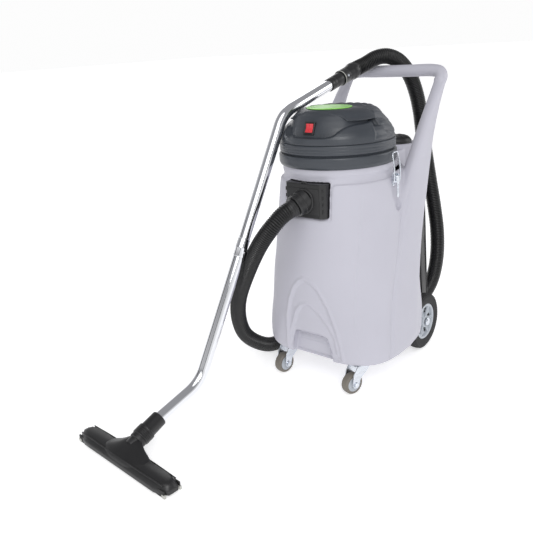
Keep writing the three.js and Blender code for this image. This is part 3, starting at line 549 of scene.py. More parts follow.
def make_lead():
    route = lead_route()
    steps = int(length_of(catmull(route, 1500)) / 4.6)
    line = catmull(route, steps)
    lead = piece("mains_lead", [tube(line, 4.0, 12)], CORD, "root",
                 ["lead_upper", "lead_hank", "lead_tail"], 60)
    profile = [(0, -52), (14, -52), (17.5, -50), (19.4, -46), (20, -42), (20, -31), (19, -28), (13, -22),
               (10, -19), (8.6, -17), (8.2, -14.5), (7.2, -14), (7.8, -11), (6.8, -10.4), (7.2, -7.5),
               (6.2, -7), (6.4, -4),
               (5.4, -3.4), (5.2, 0), (0, 0)]
    body = lathe(profile, 40)
    grips = [block(-1.4, 1.4, 19, 20.8, -45, -32, 0.6, 2), block(-1.4, 1.4, -20.8, -19, -45, -32, 0.6, 2)]
    face = lathe([(0, -54), (15, -54), (15.6, -52), (0, -51)], 40)
    plug = new_object("round_plug", [shift(s, *PLUG_AT) for s in (body, face, *grips)], RUBBER)
    finish_piece(plug, "root", ["mains_plug"])
    pins = [shift(rod((x, 0, -71), (x, 0, -50), 2.4, 20, 1.2), *PLUG_AT) for x in (-9.5, 9.5)]
    pins = piece("plug_pins", pins, STEEL, "root")
    boot = []
    for k in range(23):
        boot.append(GLAND_AT + GLAND_WAY * (k * 1.15))
    relief = tube(np.array(boot), lambda k, turn: np.full(
        len(turn), 9.4 if k < 6 else (8.6 - 0.19 * (k - 6)) - (0.7 if k % 3 == 0 else 0)), 28)
    gland = piece("strain_relief", [relief], RUBBER, "root", ["cable_gland"])


make_hose()
make_lead()

# ---- moulded shell -------------------------------------------------------------------------
# height, half width, front reach, rear reach, front squareness, rear squareness
BODY = [(115, 243, 190, 328, 3, 2.6), (130, 249, 196, 332, 3, 2.6), (154, 250, 198, 332, 3, 2.6),
        (294, 241, 207, 326, 2.5, 2.5), (413, 234, 212, 312, 2.2, 2.4), (480, 229, 209, 304, 2.05, 2.4),
        (646, 206, 198, 284, 2, 2.3), (722, 194, 191, 272, 2, 2.2), (732, 186, 184, 262, 2, 2.2)]
# height, then the leg's front, rear, inner face and outer face
LEG = [(115, -80, 118, 150, 246), (154, -82, 142, 150, 252), (300, -75, 158, 150, 247),
       (450, -8, 180, 150, 238), (560, 38, 208, 155, 231), (640, 66, 236, 160, 226),
       (694, 100, 252, 167, 222), (757, 143, 270, 171, 219),
       (795, 171, 281, 172, 217), (850, 214, 306, 172, 214), (910, 265, 337, 172, 212),
       (960, 312, 367, 171, 211), (990, 341, 386, 170, 210),
       (1004, 352, 392, 171, 208)]
DECK = [(640, 165, 40, 280), (700, 165, 40, 274), (751, 165, 40, 262), (757, 160, 40, 256)]
TOWER_X, TOWER_Y = 12, 380
# x and height of the raised arches on the front
OUTER_ARCH = [(-103, 120), (-100, 180), (-96, 254), (-79, 321), (-55, 371), (-30, 398), (-9, 409), (18, 400),
              (45, 379), (79, 321), (107, 240), (120, 180), (128, 120)]
INNER_ARCH = [(-88, 150), (-85, 199), (-54, 281), (-32, 307), (-7, 318), (18, 308), (42, 291), (77, 249),
              (100, 205),
              (106, 150)]


def arch_depth(arch, x, z):
    """How far a place lies inside an arch, in mm, less than nothing outside it."""
    ax, az = np.array(arch).T
    best = np.full(len(x), 1e9)
    for (x0, z0), (x1, z1) in zip(arch, arch[1:]):
        t = np.clip(((x - x0) * (x1 - x0) + (z - z0) * (z1 - z0)) / ((x1 - x0)**2 + (z1 - z0)**2), 0, 1)
        best = np.minimum(best, np.hypot(x - x0 - t * (x1 - x0), z - z0 - t * (z1 - z0)))
    inside = (x > ax[0]) & (x < ax[-1]) & (z < np.interp(x, ax, az))
    return np.where(inside, best, -best)


def body_skin(rows, inset=0.0):
    return rings_to_mesh([outline(z, a - inset, f - inset, r - inset, nf, nr, 128) for z, a, f, r, nf,
                          nr in rows])


def handle_legs():
    parts = []
    for _, side in SIDES:
        rings = []
        for z, y0, y1, x0, x1 in levels(LEG, 14):
            n = 3.2 - 1.0 * float(ease(760, 980, z))
            rings.append(outline(z, (x1 - x0) / 2, (y1 - y0) / 2, (y1 - y0) / 2, n, n, 48,
                                 side * (x0 + x1) / 2, (y0 + y1) / 2))
        parts.append(rings_to_mesh(rings))
    bar = [(-190, 362, 990), (-190, 376, 1008), (-179.8, 384, 1022), (-150, 387, 1028), (-75, 387, 1028)]
    bar = bar + [(0, 387, 1028)] + [(-x, y, z) for x, y, z in reversed(bar)]
    parts.append(tube(catmull(bar, 90), lambda k, turn: np.full(len(turn), 21.6), 32))
    return parts


def make_body():
    rows = levels(BODY, 8)
    body = new_object("body_moulding", [body_skin(rows)], SHELL)
    block_below = block(TOWER_X - 62, TOWER_X + 62, 200, TOWER_Y, 115, 757, 0)
    combine(body, [lathe([(184, 700), (184, 795)], 96),
                   rings_to_mesh([outline(z, a, f, r, 2, 2.4, 96) for z, a, f, r in DECK]),
                   shift(lathe([(75, 115), (75, 772)], 80), TOWER_X, TOWER_Y, 0), block_below,
                   *handle_legs()],
            "UNION")
    inner = [row for row in rows if row[0] >= 294]
    low = [(182, 224, 172, 306, 3, 2.6), (204, 238, 186, 320, 3, 2.6)]
    low += [tuple(np.array(row) - (0, 7, 7, 7, 0, 0)) for row in inner]
    room = new_object("room", [rings_to_mesh([outline(*row, 96) for row in low])], SHELL)
    combine(room, [block(-300, 300, -300, 250, 177, 740, 0)], "INTERSECT")
    combine(room, [block(-89, 89, -300, -165, 100, 211, 0)], "DIFFERENCE")
    for _, side in SIDES:
        combine(room, [block(*sorted((side * 186, side * 300)), -36, 88, 594, 762, 0),
                       tube([(side * 132, 295, 108), (side * 300, 295, 108)], 133, 96)], "DIFFERENCE")
    bake(body, ("BOOLEAN", {"operation": "DIFFERENCE", "object": room, "solver": "MANIFOLD"}))
    bpy.data.objects.remove(room)
    under = [(110, 234, 181, 319, 3, 2.6), (170, 237, 184, 320, 3, 2.6)]
    under = new_object("under", [rings_to_mesh([outline(*row, 96) for row in under])], SHELL)
    keep = [block(-89, 89, -300, -165, 100, 210, 0)]
    for _, side in SIDES:
        keep.append(block(*sorted((side * 106, side * 190)), -152, -84, 100, 172, 0))
        keep.append(block(*sorted((side * 112, side * 136)), 271, 315, 88, 172, 0))
    combine(under, keep, "DIFFERENCE")
    bake(body, ("BOOLEAN", {"operation": "DIFFERENCE", "object": under, "solver": "MANIFOLD"}))
    bpy.data.objects.remove(under)
    combine(body, [lathe([(176, 690), (176, 800)], 96),
                   shift(lathe([(57.8, 600), (57.8, 800)], 64), TOWER_X, TOWER_Y, 0),
                   block(-79, 79, -260, -160, 616, 728, 0),
                   plate([(-84, 100), (84, 100), (80, 150), (66, 196), (58, 204), (-58, 204), (-66, 196),
                          (-80, 150)],
                         -260, -172, 0, axis="y")], "DIFFERENCE")
    for _, side in SIDES:
        reach = sorted((side * 139, side * 300))
        recess = arc(42, 626, 19, 180, 360, 12) + [(37, 752), (5, 752)]
        combine(body, [tube([(reach[0], 295, 108), (reach[1], 295, 108)], 126, 96),
                       plate(recess, *sorted((side * 195, side * 262)), 0, axis="x"),
                       plate(arc(295, 108, 11.5, 0, 345, 23), *sorted((side * 100, side * 210)), 0,
                             axis="x")],
                "DIFFERENCE")
    bake(body, ("REMESH", {"mode": "VOXEL", "voxel_size": 3.2 * MM, "adaptivity": 0}),
         ("SMOOTH", {"factor": 0.5, "iterations": 7}))
    shape_front(body)
    bake(body, ("SMOOTH", {"factor": 0.5, "iterations": 2}))
    finish_piece(body, "root", ["tank_shell", "push_handle"], 70)
    return body


def shape_front(body):
    """The raised arches and the sunk field round the inlet, pressed into the front of the shell."""
    co, no = coords(body), normals(body)
    x, y, z = co.T
    front = (no[:, 1] < -0.25) & (y < -90) & (z < 740)
    outer, inner = arch_depth(OUTER_ARCH, x, z), arch_depth(INNER_ARCH, x, z)
    lift = 3.4 * np.exp(-(outer / 5.0)**2) - 4.5 * ease(2, 16, outer)
    lift += 3.2 * np.exp(-(inner / 4.5)**2) - 3.5 * ease(2, 14, inner) * (z < 330)
    lift *= ease(118, 128, z)
    co[front, 1] -= lift[front]
    # the neck over the panel, which comes down round the inlet, lies a little deeper than the panel
    outward = (no[:, 0] * x + no[:, 1] * y > 0.3 * np.hypot(x, y)) & (z > 580) & (z < 760) & (y < 60)
    over = z - 723
    field = 88 - np.abs(x)
    field = np.where(z > 611, field, -np.hypot(np.maximum(-field, 0), 611 - z))
    deep = np.maximum(over, np.minimum(field, z - 611))
    near_corner = (over < 0) & (field < 0) & (np.hypot(over - 0, field - 0) < 14) & (y < -90)
    deep = np.where(near_corner, np.hypot(np.minimum(over + 14, 14), np.minimum(field + 14, 14)) - 14, deep)
    step = -3.0 * ease(-1, 3, deep) - 1.8 * np.exp(-((deep - 1.0) / 2.4)**2)
    step *= 1 - ease(738, 752, z)
    window = (np.abs(x) < 86) & (y < -150) & (z > 606) & (z < 738)
    push = np.where(window | (outward & ((y < -90) | (z > 700))), step, 0.0)
    way = np.where(window[:, None], np.array([0.0, -1.0, 0.0]), no)
    co += way * push[:, None]
    # the legs stand out from the tank with a crease along their front edge
    leg = np.array(LEG)
    edge_y = np.polyval(np.polyfit(leg[:, 0], leg[:, 1], 3), z) + 10
    flank = (np.abs(no[:, 0]) > 0.5) & (np.abs(x) > 165) & (no[:, 0] * x > 0) & (z < 700) & (y < 120)
    crease = 1.8 * (ease(-2, 16, y - edge_y) - 1) - 3.4 * np.exp(-((y - edge_y) / 6.0)**2)
    co[:, 0] += np.where(flank, np.sign(x) * crease * ease(112, 124, z) * (1 - ease(640, 700, z)), 0)
    seam = np.exp(-((z - 757) / 2.2)**2) * (np.abs(no[:, 0]) > 0.4) * (np.abs(x) > 150) * (y > 60)
    co[:, 0] -= np.sign(x) * 0.9 * seam
    set_coords(body, co)


body = make_body()

# ---- tower ------------------------------------------------------------------------------------
cap = [(0, 742), (57, 742), (57, 774), (56.4, 776), (58.5, 777), (58.6, 779.5), (57, 781), (55.5, 784),
       (53, 787.4), (50, 789.6), (45, 792), (40, 794.2), (34, 796.6), (24, 798.4), (14, 799.4), (6, 799.8),
       (0, 800)]
moulded = [shift(lathe(cap, 96), TOWER_X, TOWER_Y, 0)]
for k in range(10):
    t = 2 * math.pi * k / 10 + 0.2
    c, s = math.cos(t), math.sin(t)
    moulded.append(tube([(TOWER_X + c * r, TOWER_Y + s * r, h) for r,
                         h in ((8, 799.4), (20, 798.9), (34, 796.8),
                                                                          (46, 791.6), (52, 788))], 1.7, 10))
piece("tower_lid", moulded, BLACK, "root", ["tower_cap"])

hook = [(-60, 403, 693), (-78, 409, 690), (-95, 414, 686), (-112, 420, 685), (-126, 424, 693),
        (-131, 426, 713),
        (-132, 426, 729)]
hook_line = catmull(hook, 60)
hook_parts = [tube(hook_line, lambda k, turn: np.full(len(turn), 5.4 - 1.6 * float(ease(52, 60, k))), 20),
              block(-71, -58, 387, 419, 664, 718, 3, 4)]
piece("cord_hook", hook_parts, BLACK, "root", ["cable_hook"])
screws = [rod((-72.4, 403, z), (-68, 403, z), 4.6, 24, 1.0) for z in (674, 708)]
piece("hook_screws", screws, ZINC, "root")

# ---- inlet ------------------------------------------------------------------------------------
plan = [(-78, -166), (78, -166), (78, -189), (64, -204), (-64, -204), (-78, -189)]
inlet = [plate(plan, 617, 727, 3.2, 4, axis="z"),
         plate([(-60, 631), (60, 631), (60, 713), (-60, 713)], -205.4, -200, 1.2, 3, axis="y"),
         tube(catmull([(-13, -196, 726), (-6, -198, 730), (0, -198.5, 731), (6, -198, 730),
                       (13, -196, 726)], 24),
              3.2, 14)]
for side in (-1, 1):
    for k in range(4):
        inlet.append(block(side * 71 - 1.2, side * 71 + 1.2, -199.5 - 0.5, -192, 634 + 22 * k, 646 + 22 * k,
                           0.8, 2))
piece("inlet_moulding", inlet, BLACK, "root", ["inlet_block"])


def turned_along(origin, way, profile, sides=48):
    """A turned piece whose axis starts at origin and runs along way."""
    spin = Vector(way).to_track_quat("Z", "Y").to_matrix().to_4x4()
    return place(lathe(profile, sides), Matrix.Translation(Vector(origin)) @ spin)


ring = [(36, -2), (41, -1.2), (42, 1), (41.4, 4.6), (39.8, 6), (36.4, 6.4), (35, 6), (35, -2)]
socket = [turned_along((0, -203.5, 672), (0, -1, 0), [(0, -1), *ring[:-1], (34, 3), (0, 3)])]
cup = [(24.8, -10), (35, -10), (35.4, 6), (35, 8), (36.6, 9.5), (36.6, 13), (35, 14.4), (34.6, 27),
       (36.2, 28.4), (36.2, 33.6), (35, 35), (28.6, 35), (26.2, 33.4), (25.2, 30),
       (24.8, 10)]
socket.append(place(rings_to_mesh([np.stack([r * np.cos(t), r * np.sin(t), np.full(48, h)], 1) for r, h in cup
                                   for t in [np.linspace(0, 2 * math.pi, 48, endpoint=False)]], loop=True),
                    Matrix.Translation(Vector(INLET_FACE)) @ Vector(AIM).to_track_quat("Z",
                            "Y").to_matrix().to_4x4()))
socket_obj = new_object("inlet_elbow", socket, BLACK)
finish_piece(socket_obj, "root", ["inlet_socket"])
sleeve = [(22.6, 22), (24.2, 22), (24.2, 35.4), (29, 35.6), (30, 37), (30, 41), (29.2, 42), (29.2, 44),
          (30, 45), (30, 49), (29, 50), (27.4, 50.6), (27.2, 56), (26.2, 61.4), (24.6, 62),
          (22.6, 62)]
cuff_parts = [turned_along(INLET_FACE, AIM, [(0, 22), *sleeve[1:-1], (0, 62)])]
piece("inlet_swivel", cuff_parts, BLACK, "root", ["inlet_cuff"])

# ---- rear wheels ------------------------------------------------------------------------------
for name, side in SIDES:
    turn = Matrix.Translation((0, 295, 108)) @ (Matrix.Rotation(math.pi if side < 0 else 0, 4, "Z")
                                                @ Matrix.Rotation(math.pi / 2, 4, "Y"))
    tread = [(70, 154), (78, 152.4), (90, 151), (94, 151.6), (97, 151), (102, 155.5), (105.4, 159),
             (106.2, 161.5), (104.6, 162.5), (104.6, 164), (107.4, 165), (107.9, 170.4), (105.4, 171.2),
             (105.4, 172.8), (107.9, 173.6), (107.4, 179), (104.6, 180), (104.6, 181.5), (106.2, 182.5),
             (105.4, 185), (102, 188.5),
             (97, 193), (94, 192.4), (90, 193), (78, 191.6), (70, 190)]
    tyre = place(ring_of(tread, 120), turn)
    blocks = []
    for k in range(60):
        spin = Matrix.Rotation(2 * math.pi * k / 60, 4, "Z")
        for lo in (155.6, 183.4):
            blocks.append(place(block(101.5, 105.6, -3.1, 3.1, lo, lo + 5.2, 0.7, 2), turn @ spin))
    piece(f"tyre_{name}", [tyre, *blocks], TYRE, f"rear_wheel_{name}", [f"rear_tyre_{name}"])
    dish = [(10.7, 152), (24, 152), (24, 165), (58, 167), (58, 156), (69.4, 156), (69.4, 188), (68, 189.6),
            (64, 190.4), (60.5, 189.8), (58.5, 187), (57, 180.5), (52, 178.6), (30, 176), (26, 177.6),
            (24.4, 181), (23.6, 188),
            (22.4, 190.6), (19, 191.6), (17.4, 190), (10.7, 190)]
    rings = [np.stack([r * np.cos(t), r * np.sin(t), np.full(96, h)], 1) for r, h in dish
             for t in [np.linspace(0, 2 * math.pi, 96, endpoint=False)]]
    rim = [place(rings_to_mesh(rings, loop=True), turn)]
    for k in range(6):
        spin = Matrix.Rotation(2 * math.pi * (k + 0.5) / 6, 4, "Z")
        rim.append(place(block(20, 60, -5.5, 5.5, 172, 186.5, 2.4, 4), turn @ spin))
        rim.append(place(block(29, 53, -1.5, 1.5, 185, 188.4, 1.0, 3), turn @ spin))
    piece(f"wheel_rim_{name}", rim, RIM, f"rear_wheel_{name}", [f"rear_rim_{name}"])
    # painted shade: black arc plates laid on the closed rim dish stand in for the dark of the slots
    slots = []
    for k in range(6):
        for r0, r1 in ((33, 40), (43.5, 52)):
            a0, a1 = 60 * k + 13, 60 * k + 47
            shape = arc(0, 0, r0, a0, a1, 10) + arc(0, 0, r1, a1, a0, 10)
            slots.append(place(plate(shape, 177.2, 180.6, 0.5, 2, axis="z"), turn))
    piece(f"rim_slots_{name}", slots, BLACK, f"rear_wheel_{name}")
    cap = [(0, 203), (7, 202.8), (10, 202.2), (13, 200.8), (15, 198.6), (15, 194.5), (14, 194.3),
           (10.5, 194.3), (10.5, 199.3),
           (0, 199.3)]
    piece(f"axle_nut_{name}", [place(lathe(cap, 48), turn), place(block(-3, 3, -3, 3, 202, 203, 0.4, 2),
                                                                  turn)], ZINC,
          "root", [f"axle_cap_{name}"])

# ---- casters ----------------------------------------------------------------------------------
CASTER_YAW = {"right": -17, "left": -8}
for name, side in SIDES:
    base = Matrix.Translation((side * 148, -118, 0))
    swivel = base @ Matrix.Rotation(math.radians(CASTER_YAW[name]), 4, "Z")
    hub_at = swivel @ Matrix.Translation((0, -38, 37.5)) @ Matrix.Rotation(math.pi / 2, 4, "Y")
    corner = 6
    plan = (arc(40 - corner, -31 + corner, corner, -90, 0, 5) + arc(40 - corner, 31 - corner, corner, 0, 90,
                                                                    5)
            + arc(-40 + corner, 31 - corner, corner, 90, 180, 5) + arc(-40 + corner, -31 + corner, corner,
                    180, 270, 5))
    top = [place(plate(plan, 111, 114.6, 0.8, 2, axis="z"), base),
           place(lathe([(0, 109.6), (23, 109.6), (25.5, 110), (26, 111.4), (0, 111.6)], 64), base)]
    for x in (-31, 31):
        for y in (-22, 22):
            top.append(place(shift(lathe([(0, 107.6), (4.6, 107.6), (5.4, 108.4), (5.4, 111.2), (0, 111.2)],
                                         6), x, y, 0),
                             base))
    piece(f"caster_plate_{name}_pressed", top, ZINC, "root", [f"caster_plate_{name}"])
    cheek = arc(-38, 37.5, 13, 180, 360, 14) + [(-16, 56), (4, 70), (20, 84), (24, 99), (22, 104),
                                                (-28, 104), (-33, 98), (-46, 78),
                                                (-50.6, 56)]
    fork = [place(plate(cheek, *sorted((s * 19.2, s * 23)), 0.9, 3), swivel) for s in (-1, 1)]
    fork += [place(block(-23, 23, -30, 24, 99.4, 104, 1.6, 3), swivel),
             place(lathe([(0, 102), (24, 102), (26, 103), (27, 104.6), (26.4, 106.8), (24, 107.8),
                          (20.4, 108.6), (19.4, 109.3),
                          (0, 109.3)], 64), swivel),
             place(rod((-12, -30.4, 101.4), (12, -30.4, 101.4), 2.2, 16, 0.6), swivel)]
    piece(f"caster_fork_{name}_pressed", fork, ZINC, f"caster_{name}", [f"caster_fork_{name}"])
    bolt = [place(rod((-27, -38, 37.5), (27, -38, 37.5), 4.8, 24, 0.8), swivel)]
    bolt += [place(lathe([(0, s0), (9.6, s0), (10.2, s0 + 0.5), (10.2, s0 + 1.6), (0, s0 + 1.6)], 32),
                   hub_at) for s0 in (23.3, -24.9)]
    bolt += [place(lathe([(0, 24.6), (8.2, 24.6), (9, 25.4), (9, 28), (8, 29), (0, 29)], 6), hub_at),
             place(lathe([(0, -28.6), (6, -28.4), (8, -27.4), (8.8, -25.8), (8.8, -24.6), (0, -24.6)], 32),
                   hub_at)]
    piece(f"caster_bolt_{name}", bolt, ZINC, f"caster_{name}", [f"caster_axle_{name}"])
    tread = [(26.8, -14), (31, -14.8), (33.4, -14.4), (35.4, -12.6), (36.9, -9.6), (37.4, -6), (37.5, 0),
             (37.4, 6), (36.9, 9.6), (35.4, 12.6), (33.4, 14.4), (31, 14.8),
             (26.8, 14)]
    rings = [np.stack([r * np.cos(t), r * np.sin(t), np.full(96, h)], 1) for r, h in tread
             for t in [np.linspace(0, 2 * math.pi, 96, endpoint=False)]]
    piece(f"caster_tyre_{name}", [place(rings_to_mesh(rings, loop=True), hub_at)], TREAD,
          f"caster_wheel_{name}",
          [f"caster_tread_{name}"])
    face = [(5.4, 16.8), (9, 17), (10.4, 16), (11.4, 13.4), (13.6, 12.6), (15, 13.6), (16.6, 13.8),
            (18, 12.6), (20.4, 12.2), (22, 13.4), (25, 14),
            (26.6, 13.6)]
    hub = face + [(r, -h) for r, h in reversed(face)]
    rings = [np.stack([r * np.cos(t), r * np.sin(t), np.full(72, h)], 1) for r, h in hub
             for t in [np.linspace(0, 2 * math.pi, 72, endpoint=False)]]
    piece(f"caster_centre_{name}", [place(rings_to_mesh(rings, loop=True), hub_at)], RIM,
          f"caster_wheel_{name}",
          [f"caster_hub_{name}"])


# ---- motor head -------------------------------------------------------------------------------
collar = [(186, 768.4), (189.4, 768.2), (190.6, 769), (193.4, 774), (194.6, 777.4), (195, 781),
          (194.6, 784), (195, 787), (195, 800), (194.4, 803.4), (192.6, 805.6), (190, 806),
          (186, 806)]


piece("head_collar_moulding", [ring_of(collar)], HEAD, "motor_head", ["head_collar"], 50)
band = [(181, 806.4), (185.6, 806.4), (186.2, 810), (187.4, 811.8), (190, 812.4), (191, 814), (191.3, 820),
        (190.9, 820.8), (191.4, 821.6), (191.7, 829), (191.2, 829.8), (191.8, 830.6), (192, 838),
        (191.6, 840.4), (190.4, 841.6),
        (188.6, 842.2), (187.4, 842.6), (186, 843), (181, 843)]
piece("motor_band_moulding", [ring_of(band)], HEAD, "motor_head", ["motor_band"], 50)

# height, half width, front reach, rear reach of the dome
DOME = [(843.4, 187.6, 187.6, 187.6), (845, 188.8, 188.8, 188.8), (852, 188.6, 188.6, 188.6),
        (862, 187.4, 187.2, 187.6), (870, 184.8, 184.6, 185.4), (877, 180.6, 180, 181.8),
        (885, 173.6, 172.4, 176), (895, 164, 162.4, 168),
        (903, 157.2, 155, 162), (911, 151, 148.4, 156), (919, 144.4, 141.6, 149.6), (926, 138, 135.4, 143),
        (933, 130, 128.4, 135), (938.5, 121.6, 121.4, 127.4), (942.4, 112.4, 114.6, 118.6),
        (944.2, 101, 108.8, 108),
        (944.6, 88, 100, 96)]
# height and reach of the sunk switch panel
PANEL = [(843, 172), (864, 165), (880, 159.6), (893, 154.4), (911, 144.6), (926, 133.6), (938, 120),
         (946, 108)]
# angle round from the front, then the panel's lower and upper edge there
PANEL_EDGE = [(0, 865, 960), (19, 865, 950), (22, 865.5, 934), (26, 867.5, 931.5), (29, 870, 930),
              (34, 880, 927.6), (37, 885, 926), (41, 890.6, 920), (45, 894, 912), (51, 897, 910.6),
              (56, 898, 910), (63, 899, 910),
              (70, 900, 910), (79, 905, 910), (86, 909, 910), (180, 909.5, 909.6)]


def dome_point(phi, z):
    """A place on the moulded head, round from the front by phi degrees."""
    table = np.array(DOME)
    a, f, r = (np.interp(z, table[:, 0], table[:, k]) for k in (1, 2, 3))
    s, c = np.sin(np.radians(phi)), -np.cos(np.radians(phi))
    depth = np.where(c < 0, f, r)
    radius = 1 / np.sqrt((s / a)**2 + (c / depth)**2)
    around = np.abs(phi)
    edge = np.array(PANEL_EDGE)
    lower, upper = (np.interp(around, edge[:, 0], edge[:, k]) for k in (1, 2))
    inside = ease(-0.6, 0.9, z - lower) * ease(-1.2, 0.8, upper - z) * (1 - ease(84.5, 86.5, around))
    inside *= np.where(around < 24, 1 - ease(934, 942, z), 1)
    flat = np.interp(z, np.array(PANEL)[:, 0], np.array(PANEL)[:, 1]) - 6.5 * ease(40, 60, around)
    radius += inside * (np.minimum(radius - 1.6, flat) - radius)
    radius += 4.2 * np.exp(-((z - upper - 3.0) / 2.8)**2) * ease(26, 40, around) * (1 - ease(84, 88, around))
    notch = ease(75.5, 78.5, around) * (1 - ease(85, 87.5, around)) * ease(887, 891,
            z) * (1 - ease(908, 911.5, z))
    radius -= 17 * notch
    crease = 72 + (z - 855) * 3 / 37
    radius -= 2.4 * ease(-1.2, 1.2, around - crease) * ease(849, 854, z) * (1 - ease(888, 894, z)) * (
        1 - ease(118, 165, around) * 0.6)
    radius += 1.5 * np.exp(-((around - crease + 1.6) / 1.1)**2) * ease(849, 856, z) * (1 - ease(886, 893, z))
    return np.stack([radius * s, radius * c, z], -1)


HEAD_LIFT = 5.3  # the head's lift and a hair more
WAND_CLEAR = 19.8  # from the wand's axis to the nearest the skin may come
SOFTNESS = 0.6


def clear_of_wand(points):
    """Keeps the dome's skin under the wand clear of it through the head's whole lift."""
    axis = np.array([reached(p) for p in even(upper, 240)])
    away = points[:, None] + (0, 0, HEAD_LIFT) - axis
    far = np.linalg.norm(away, axis=2)
    near = far.argmin(1)
    rows = np.arange(len(points))
    gap = far[rows, near]
    need = SOFTNESS * np.log1p(np.exp(np.clip((WAND_CLEAR - gap) / SOFTNESS, -30, 30)))
    return points + away[rows, near] / gap[:, None] * need[:, None]


def make_dome():
    phis = np.linspace(-180, 180, 480, endpoint=False)
    heights = np.concatenate([np.linspace(843.4, 852, 5), np.linspace(853.2, 943.6, 76), [944.2, 944.6]])
    rings = [dome_point(phis, np.full(len(phis), z)) for z in heights]
    top = rings[-1]
    centre = np.array((0, 2.0, 945.2))
    for k in range(1, 14):
        t = k / 14
        rings.append(top * (1 - t) + centre * t)
    rings = np.array(rings)
    outer = rings.reshape(-1, 3)
    along = np.gradient(rings, axis=0)
    around = np.roll(rings, -1, 1) - np.roll(rings, 1, 1)
    normal = np.cross(around, along)
    normal /= np.linalg.norm(normal, axis=-1)[..., None] + 1e-9
    x, y, z = outer.T
    behind = np.degrees(np.abs(np.arctan2(x, -y)))
    shroud = np.where(z < 943.9, ease(87.5, 92, behind), 0) * ease(852, 862, z)
    badge_edge = ((x / 84)**2 + ((y + 44) / 73)**2)
    shroud = np.maximum(shroud, ease(-12, 8, y) * ease(925, 935, z))
    shroud *= ease(1.0, 1.25, badge_edge) * ease(-16, 2, y)
    rib = np.abs(np.sin(math.pi * x / 30.0))
    push = shroud * (5.6 * rib - 4.0)
    skin = clear_of_wand((rings + normal * push.reshape(rings.shape[:2])[..., None]).reshape(-1,
            3)).reshape(rings.shape)
    inner = []
    for z, drop in ((944, 6), (930, 5.5), (905, 5.5), (870, 6), (843.4, 6)):
        ring = dome_point(phis, np.full(len(phis), float(z)))
        scale = 1 - (drop + (10 if z < 925 else 4)) / np.linalg.norm(ring[:, :2], axis=1)
        ring[:, :2] *= scale[:, None]
        ring[:, 2] -= 4 if z > 850 else 0
        inner.append(ring)
    shell = rings_to_mesh([*inner, *skin], caps=False)
    n = len(phis)
    v, f = shell
    v = np.vstack([v, [[0, 2.0, 939.5]], [[0, 2.0, 945.2]]])
    last = (len(inner) + len(skin) - 1) * n
    f += [(len(v) - 2, (i + 1) % n, i) for i in range(n)]
    f += [(len(v) - 1, last + i, last + (i + 1) % n) for i in range(n)]
    return v, f


badge = [(0, 944.9), (0.985, 944.9), (1, 945.4), (1, 947), (0.985, 947.8), (0.95, 948.2), (0.93, 948.2),
         (0.915, 947.8), (0.9, 947.8), (0.6, 948.2), (0.3, 948.4),
         (0, 948.5)]
v, f = lathe([(max(r, 1e-3) * 100, z) for r, z in badge], 128)
piece("badge_oval", [(v * (0.778, 0.66, 1) + (0, -44, 0), f)], BADGE, "motor_head", ["badge_plate"])

switch = Matrix.Translation((0, -156, 893)) @ Matrix.Rotation(math.radians(-20), 4, "X")


def frame_of(x, z, hole_x, hole_z, y0, y1, edge):
    """A rectangular frame in XZ with rounded outside corners and a step down to its opening."""
    rings = []
    for hx, hz, y in ((x - edge, z - edge, y1), (x, z, y1 - 0.2), (x, z, y0 + edge), (x - edge, z - edge, y0),
                      (hole_x + 1.2, hole_z + 1.2, y0), (hole_x, hole_z, y0 + 1.2), (hole_x, hole_z, y1)):
        r = 3.0
        ring = []
        for cx, cz, a in ((hx - r, hz - r, 0), (-hx + r, hz - r, 90), (-hx + r, -hz + r, 180),
                          (hx - r, -hz + r, 270)):
            ring += [(px, y, pz) for px, pz in arc(cx, cz, r, a, a + 90, 5)]
        rings.append(np.array(ring))
    return rings_to_mesh(rings, loop=True)


bezel = [place(frame_of(19.6, 20.8, 14.4, 15.6, -3.2, 6, 0.8), switch),
         place(frame_of(16.6, 17.6, 13.9, 15.1, -1, 15.6, 0.5), switch)]
piece("switch_frame", bezel, BLACK, "motor_head", ["switch_bezel"])
key = [(6, -13), (-3.6, -13.8), (-3.2, -13.2), (-2.2, -9), (-1.2, -4), (-0.9, 0), (-1.2, 4), (-2.2, 9),
       (-3.2, 13.2), (-3.6, 13.8),
       (6, 13)]
rocker = [place(plate([(u, v) for u, v in key], -13.1, 13.1, 0.7, 3, axis="x"), switch),
          place(block(-0.7, 0.7, -3.9, -2.4, 4.5, 10, 0.3, 2), switch),
          place(tube([(3.2 * math.cos(a), -3.1, -7.6 + 3.2 * math.sin(a)) for a in np.linspace(0,
                  2 * math.pi, 33)],
                     0.5, 10), switch)]
piece("rocker_lens", rocker, RED, "rocker", ["rocker_switch"])

